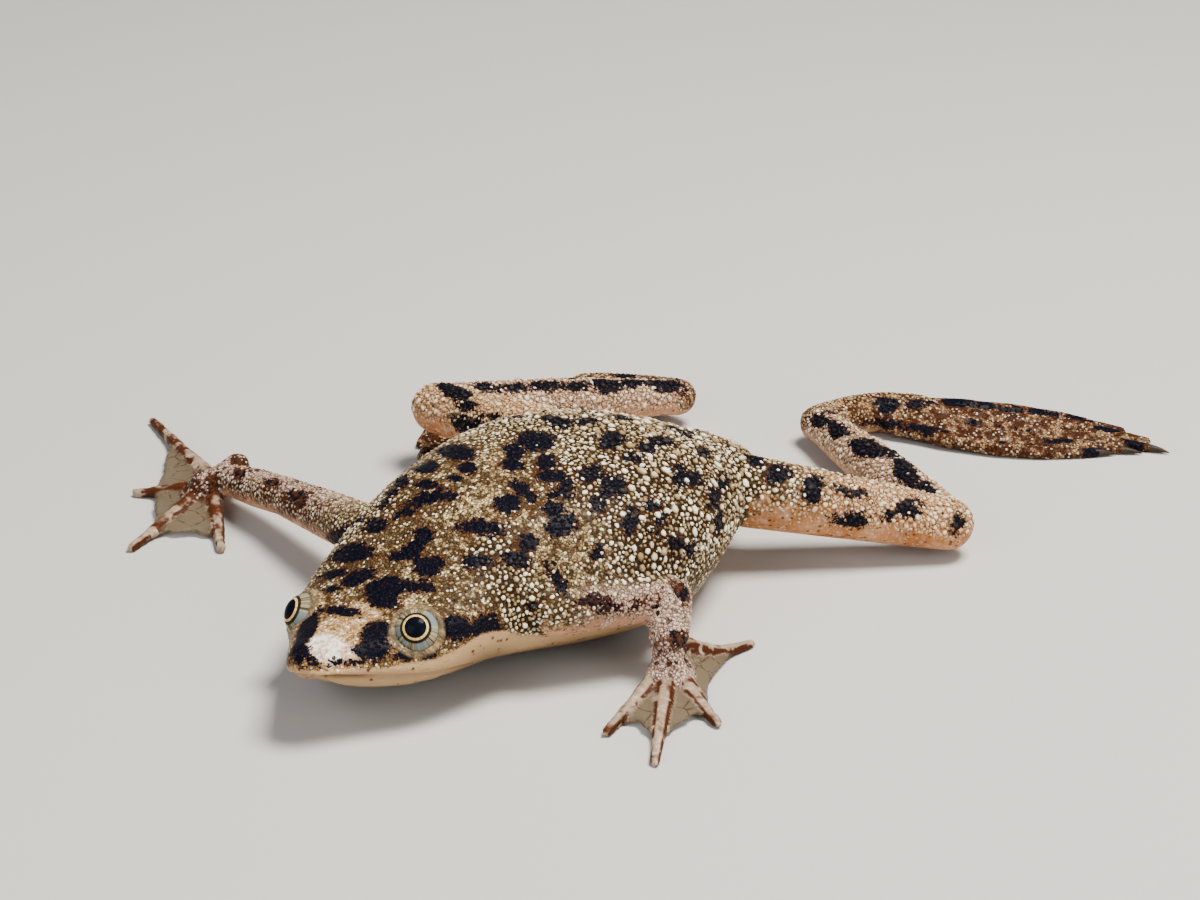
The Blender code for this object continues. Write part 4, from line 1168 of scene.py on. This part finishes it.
# Painted shade in the mouth's groove, as dark as it is deep and strongest at the front
colour = blend(given["crease"], colour, "line")

# The granules stand up everywhere but on the underside, the digits and the webs
smooth_skin = larger(between(given["tan"], -0.45, 0.45), given["digit"])
smooth_skin = times(larger(between(given["pale"], -0.1, 0.15), smooth_skin), 0.8)
bumps = larger(between(grains["Distance"], 0.62, 0.0), times(glint, 1.6))
relief = times(bumps, minus(1.0, larger(given["web"], smooth_skin)))
result = marks.nodes.new("NodeGroupOutput").inputs
feed(result["Colour"], colour)
feed(result["Rough"], between(drift, 0.3, 0.7, 0.35, 0.5))
feed(result["Relief"], relief)


def frog_material(name, relief_height):
    """Satin skin whose colour and roughness come from the marks. With a relief height it is
    also granular, lets a little light in and has slightly clear webs."""
    made, shader = node_material(name)
    tree = made.node_tree
    group = tree.nodes.new("ShaderNodeGroup")
    group.node_tree = marks
    for field in list(SKIN_FIELDS) + ["bead_light_and_highlight"]:
        feed(group.inputs[field], field_node(tree, field))
    feed(shader.inputs["Base Color"], group.outputs["Colour"])
    feed(shader.inputs["Roughness"], group.outputs["Rough"])
    shader.inputs["IOR"].default_value = 1.15
    if relief_height > 0.0:
        bump = tree.nodes.new("ShaderNodeBump")
        bump.inputs["Distance"].default_value = relief_height * MM
        bump.inputs["Strength"].default_value = 0.8
        feed(bump.inputs["Height"], group.outputs["Relief"])
        feed(shader.inputs["Normal"], bump.outputs["Normal"])
        feed(shader.inputs["Alpha"], minus(1.0, times(field_node(tree, "web"), 0.3)))
        shader.inputs["Subsurface Weight"].default_value = 0.08
        shader.inputs["Subsurface Radius"].default_value = (0.6, 0.35, 0.2)
        shader.inputs["Subsurface Scale"].default_value = 0.5 * MM
    return made


skin_look = frog_material("frog_skin", 0.1)
fused.materials.append(skin_look)


# Pearly beads -----------------------------------------------------------------------------
# Horny beads stand on the skin of back, flanks and legs, largest on the rump. Each is a low
# six-sided dome of its own outline, set into the skin, where the bead field is strong enough.

BEAD_SIDES = 6
BEAD_SMALL, BEAD_LARGE = 0.08, 0.25
BEAD_ROOM, BEAD_SPARSE = (1.8, 2.9), 1.7
BEAD_TRIES = 90000
FILL_SIZE, FILL_ROOM, FILL_FROM = 0.105, 1.02, 0.4
BEAD_LIMIT = 4100

# Rings of a bead as (spread, rise), the depth of its root, and how light it is at its root, at
# each ring and at its tip: painted shade low on its sides, a painted highlight towards its tip
BEAD_RINGS = ((0.92, -0.2), (1.0, 0.12), (0.78, 0.62), (0.42, 0.92))
BEAD_ROOT = 0.25
UV_BEAD, UV_EDGE = 0.0014, 0.005
BEAD_SHADE_TO_HIGHLIGHT = (0.2, 0.2, 0.4, 0.85, 1.0, 1.0)

# Beads come in patches: a sum of random waves a few millimetres long thins them out
waves = rng.normal(0.0, 1.5, (18, 3))
patchy = np.cos(points @ waves.T + rng.uniform(0.0, 6.3, 18)).sum(1) / 3.0

corner = np.empty(len(fused.polygons) * 3, np.int64)
fused.polygons.foreach_get("vertices", corner)
corner = corner.reshape(-1, 3)
face_area = np.linalg.norm(np.cross(
    points[corner[:, 1]] - points[corner[:, 0]], points[corner[:, 2]] - points[corner[:, 0]]),
    axis=1) / 2
chance = face_area * (bead[corner].mean(1) > 0.13)
picked = rng.choice(len(corner), BEAD_TRIES, p=chance / chance.sum())
weights = rng.dirichlet((1.0, 1.0, 1.0), BEAD_TRIES)
place = (points[corner[picked]] * weights[..., None]).sum(1)
upward = unit((normals[corner[picked]] * weights[..., None]).sum(1))
strength = (bead[corner[picked]] * weights).sum(1)
size = BEAD_SMALL + (BEAD_LARGE - BEAD_SMALL) * strength * (
    0.35 + 1.1 * rng.uniform(0.0, 1.0, BEAD_TRIES) ** 1.7)
room = rng.uniform(*BEAD_ROOM, BEAD_TRIES) - 0.3 * patchy[corner[picked, 0]]
room += BEAD_SPARSE * ease((0.45 - strength) / 0.4) * (on_limb[corner[picked, 0]] < 0.5)


def crowd_of(places):
    """A tree that finds the near ones among places."""
    tree = kdtree.KDTree(len(places))
    for number, spot_place in enumerate(places.tolist()):
        tree.insert(spot_place, number)
    tree.balance()
    return tree


crowd = crowd_of(place)
near_bead = np.zeros(BEAD_TRIES, bool)
kept = []
for index, spot_place in enumerate(place.tolist()):
    if not near_bead[index]:
        kept.append(index)
        for _, other, _ in crowd.find_range(spot_place, size[index] * room[index]):
            near_bead[other] = True

# Smaller beads fill the gaps between the first ones
crowd = crowd_of(place[kept])
reach = size[kept]
reach_small = np.minimum(size, FILL_SIZE)
open_places = []
for index in np.flatnonzero(near_bead & (strength > FILL_FROM)).tolist():
    near = crowd.find_n(place[index].tolist(), 4)
    if all(gap > (reach[number] + reach_small[index]) * FILL_ROOM for _, number, gap in near):
        open_places.append(index)
size[open_places] = reach_small[open_places]
crowd = crowd_of(place[open_places])
fits = np.ones(len(open_places), bool)
for number, index in enumerate(open_places):
    if fits[number]:
        kept.append(index)
        for _, other, _ in crowd.find_range(place[index].tolist(), size[index] * 2.0):
            fits[other] = False
kept = np.array(kept)
nearest = corner[picked[kept], 0]


def bead_piece(name, chosen):
    """A joined mesh of domes: rings at growing heights and shrinking radii round each bead's
    own axis, with the outline pushed in and out; the tip and the foot close it."""
    centre, up, radius = place[chosen], upward[chosen], size[chosen]
    count = len(chosen)
    side = unit(np.cross(up, rng.normal(size=(count, 3))))
    front = np.cross(up, side)
    angle = np.linspace(0.0, 2 * math.pi, BEAD_SIDES, endpoint=False)[None] + rng.uniform(
        -0.22, 0.22, (count, BEAD_SIDES))
    outline = rng.uniform(0.86, 1.14, (count, BEAD_SIDES))
    slender = rng.uniform(0.8, 1.2, (count, 1))
    high = rng.uniform(0.42, 0.7, (count, 1))
    rows = [(centre - up * radius[:, None] * BEAD_ROOT)[:, None]]
    for spread, rise in BEAD_RINGS:
        x = np.cos(angle) * outline * spread * radius[:, None] * slender
        y = np.sin(angle) * outline * spread * radius[:, None] / slender
        z = rise * high * radius[:, None] * np.ones_like(x)
        rows.append(
            centre[:, None] + side[:, None] * x[..., None] + front[:, None] * y[..., None]
            + up[:, None] * z[..., None])
    rows.append((centre + up * radius[:, None] * high)[:, None])
    stack = np.concatenate(rows, 1)
    each = stack.shape[1]
    ring = np.arange(BEAD_SIDES)
    after = (ring + 1) % BEAD_SIDES
    faces = [np.stack((0 * ring, 1 + after, 1 + ring), -1)]
    last = each - 1 - BEAD_SIDES
    for low in range(1, last, BEAD_SIDES):
        top = low + BEAD_SIDES
        faces.append(np.stack((low + ring, low + after, top + after), -1))
        faces.append(np.stack((low + ring, top + after, top + ring), -1))
    faces.append(np.stack((last + ring, last + after, 0 * ring + each - 1), -1))
    faces = np.concatenate(faces)
    all_faces = (faces[None] + (np.arange(count) * each)[:, None, None]).reshape(-1, 3)
    mesh = bpy.data.meshes.new(name)
    mesh.from_pydata((stack.reshape(-1, 3) * MM).tolist(), [], all_faces.tolist())
    owner = corner[picked[chosen], 0]
    put_fields(mesh, SKIN_FIELDS, np.repeat(owner, each))
    light = rng.uniform(0.45, 1.0, count) * ease((radius - 0.03) / 0.11)
    # Each bead's own lightness, times painted shade low on its sides and a painted highlight at
    # its tip
    shade_to_highlight = np.repeat(BEAD_SHADE_TO_HIGHLIGHT, [1] + [BEAD_SIDES] * len(BEAD_RINGS) + [1])
    put_fields(mesh, {"bead_light_and_highlight": (light[:, None] * shade_to_highlight).ravel()})

    # Each bead is a small patch at its root's place on the unrolled skin: the trunk fills the
    # left half of the map, and the parts of the limbs stand in rows and columns in the right
    part = limb_part[owner]
    body = on_limb[owner] < 0.5
    turn = np.where(body, np.arctan2(
        (skin_height - 4.5)[owner], skin_side[owner]), limb_turn[owner]) / (2 * math.pi) + 0.5
    along = np.where(body, skin_t[owner] / BODY_LENGTH, limb_share[owner])
    column = np.where(body, 0.0, 0.5 + (part % 6) / 12.0)
    row = np.where(body, 0.0, (part // 6) / 6.0)
    u = column + turn * np.where(body, 0.48, 0.078) + UV_EDGE
    v = row + along * np.where(body, 0.98, 0.155) + UV_EDGE
    flat = np.concatenate((np.zeros((1, 2)), np.tile(np.stack(
        (np.cos(angle[0]), np.sin(angle[0])), -1), (len(BEAD_RINGS), 1)), np.zeros((1, 2))))
    unrolled = np.stack((u, v), -1)[:, None] + flat[None] * UV_BEAD
    layer = mesh.uv_layers.new(name="OFBake")
    layer.data.foreach_set("uv", unrolled.reshape(-1, 2)[all_faces.ravel()].ravel())
    mesh.shade_smooth()
    mesh.materials.append(bead_look)
    piece = put_object(name, mesh)
    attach(piece, "root")


bead_look = frog_material("pearly_beads", 0.0)
body_bead = on_limb[nearest] < 0.5
back = kept[body_bead & (skin_t[nearest] > 20.0)]
front = kept[body_bead & (skin_t[nearest] <= 20.0)]
in_leg = np.isin(limb_kind[nearest], ("thigh", "shin", "tarsus", "sole"))
arms = kept[~body_bead & ~in_leg]
left_leg = kept[~body_bead & in_leg & on_left[nearest]]
right_leg = kept[~body_bead & in_leg & ~on_left[nearest]]
for name, chosen in (("beads_rump", back), ("beads_shoulders", front), ("beads_arms", arms),
                     ("beads_left_leg", left_leg), ("beads_right_leg", right_leg)):
    bead_piece(name, chosen[:BEAD_LIMIT])


# Eyes -------------------------------------------------------------------------------------
# Round eyes look up and outwards: a black pupil in a thin gold ring, a dark ring and a
# blue-grey and cream iris, under the low rise of the cornea.

PUPIL, GOLD, DARK_RING, IRIS = 0.58, 0.695, 0.85, 1.22
CORNEA_RISE, CORNEA_ANGLE = 0.07, 0.55
EYE_ROWS, EYE_COLUMNS = 70, 96
PAINT.update({
    "iris_brown": (0.05, 0.035, 0.018), "iris_cream": (0.36, 0.33, 0.20),
    "iris_blue": (0.17, 0.215, 0.22), "iris_edge": (0.10, 0.065, 0.04),
    "dark_ring": (0.02, 0.014, 0.01), "old_gold": (0.52, 0.28, 0.05),
    "gold": (0.90, 0.66, 0.26), "pupil": (0.003, 0.004, 0.008),
})


def eye_grid(centre, look, across, over):
    """A ball by the angle from its axis and the turn round it, with a low rise in front."""
    polar = np.linspace(0.012, math.pi - 0.012, EYE_ROWS)[:, None]
    turn = np.linspace(0.0, 2 * math.pi, EYE_COLUMNS, endpoint=False)[None]
    radius = EYE_RADIUS + CORNEA_RISE * np.exp(-(polar / CORNEA_ANGLE) ** 2)
    ring = np.cos(turn)[..., None] * across + np.sin(turn)[..., None] * over
    grid = centre + (radius * np.sin(polar))[..., None] * ring + (
        radius * np.cos(polar))[..., None] * look
    off = EYE_RADIUS * np.sin(np.minimum(polar, math.pi / 2)) + 0 * turn
    return grid, off, ring + 0 * off[..., None]


def eye_material():
    """Rings by the distance from the axis, with radial streaks from noise along the turn."""
    made, shader = node_material("frog_eye")
    tree = made.node_tree
    off = field_node(tree, "off_axis")
    around = tree.nodes.new("ShaderNodeAttribute")
    around.attribute_name = "around"
    streak = noise(around.outputs["Vector"], 9.0, 4.0, 0.65)
    patches = noise(around.outputs["Vector"], 1.4, 1.0)
    wobble = times(minus(streak, 0.5), 0.05)
    edge = plus(off, wobble)
    iris = blend(between(streak, 0.38, 0.6), "iris_brown", "iris_cream")
    iris = blend(between(patches, 0.42, 0.58), iris, "iris_blue")
    colour = blend(between(edge, IRIS - 0.1, IRIS), iris, "iris_edge")
    colour = blend(between(edge, DARK_RING + 0.03, DARK_RING - 0.02), colour, "dark_ring")
    gold = blend(between(streak, 0.35, 0.6), "old_gold", "gold")
    colour = blend(between(off, GOLD + 0.02, GOLD - 0.01), colour, gold)
    colour = blend(between(off, PUPIL + 0.02, PUPIL - 0.01), colour, "pupil")
    feed(shader.inputs["Base Color"], colour)
    shader.inputs["Roughness"].default_value = 0.3
    shader.inputs["IOR"].default_value = 1.06
    shader.inputs["Coat Weight"].default_value = 0.04
    shader.inputs["Coat Roughness"].default_value = 0.03
    return made


def grid_mesh(name, grid):
    """A closed mesh from a grid of rings, its two ends capped."""
    rows, columns = grid.shape[:2]
    index = np.arange(rows * columns).reshape(rows, columns)
    a, b = index[:-1], index[1:]
    quads = np.stack((a, b, np.roll(b, -1, 1), np.roll(a, -1, 1)), -1).reshape(-1, 4)
    faces = quads.tolist() + [index[0].tolist(), index[-1][::-1].tolist()]
    mesh = bpy.data.meshes.new(name)
    mesh.from_pydata((grid.reshape(-1, 3) * MM).tolist(), [], faces)
    mesh.shade_smooth()
    return mesh


eye_look = eye_material()
for side in ("left", "right"):
    grid, off, around = eye_grid(*eyes[side])
    mesh = grid_mesh("eyeball_" + side, grid)
    put_fields(mesh, {"off_axis": off.ravel()})
    layer = mesh.attributes.new("around", "FLOAT_VECTOR", "POINT")
    layer.data.foreach_set("vector", around.ravel().astype(np.float32))
    mesh.materials.append(eye_look)
    piece = put_object(mesh.name, mesh)
    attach(piece, "root")
    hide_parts("eye_" + side)


# Claws ------------------------------------------------------------------------------------
# Short black horn tips on the three inner toes of each hind foot, rooted in the toe and
# curved down to a blunt point.

CLAW_LENGTH, CLAW_RADIUS, CLAW_ROOT = 0.8, 0.26, 0.55
CLAW_HEIGHT, CLAW_FALL, CLAW_TAPER = 0.28, 0.13, 0.86
HORN_GRAIN = 2500.0
PAINT.update({"horn": (0.012, 0.008, 0.006), "worn_horn": (0.05, 0.03, 0.018)})

claw_look, shader = node_material("claw_horn")
where = claw_look.node_tree.nodes.new("ShaderNodeTexCoord").outputs["Object"]
grain = noise(where, HORN_GRAIN, 3.0)
feed(shader.inputs["Base Color"], blend(grain, "horn", "worn_horn"))
feed(shader.inputs["Roughness"], between(grain, 0.3, 0.7, 0.4, 0.6))
shader.inputs["IOR"].default_value = 1.25
for side in ("left", "right"):
    for k in range(3):
        before, end = toe_ends[side][k]
        way = unit(end - before)
        start = end + way * (TOE_RADII[2] * 0.8 + 0.2)
        along = np.linspace(-CLAW_ROOT, CLAW_LENGTH, 14)
        path = start + way * along[:, None]
        share = (along + CLAW_ROOT) / (CLAW_LENGTH + CLAW_ROOT)
        path[:, 2] = CLAW_HEIGHT - CLAW_FALL * share**2
        size = CLAW_RADIUS * (1.0 - CLAW_TAPER * share**1.6)
        grid = rounded_tube(path, size, sides=14, cap=4)
        grid[..., 2] = np.maximum(grid[..., 2], 0.0)
        mesh = grid_mesh("claw_horn_%s_%d" % (side, k + 1), grid)
        mesh.materials.append(claw_look)
        piece = put_object(mesh.name, mesh)
        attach(piece, "root")
        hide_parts("claw_%s_%d" % (side, k + 1))
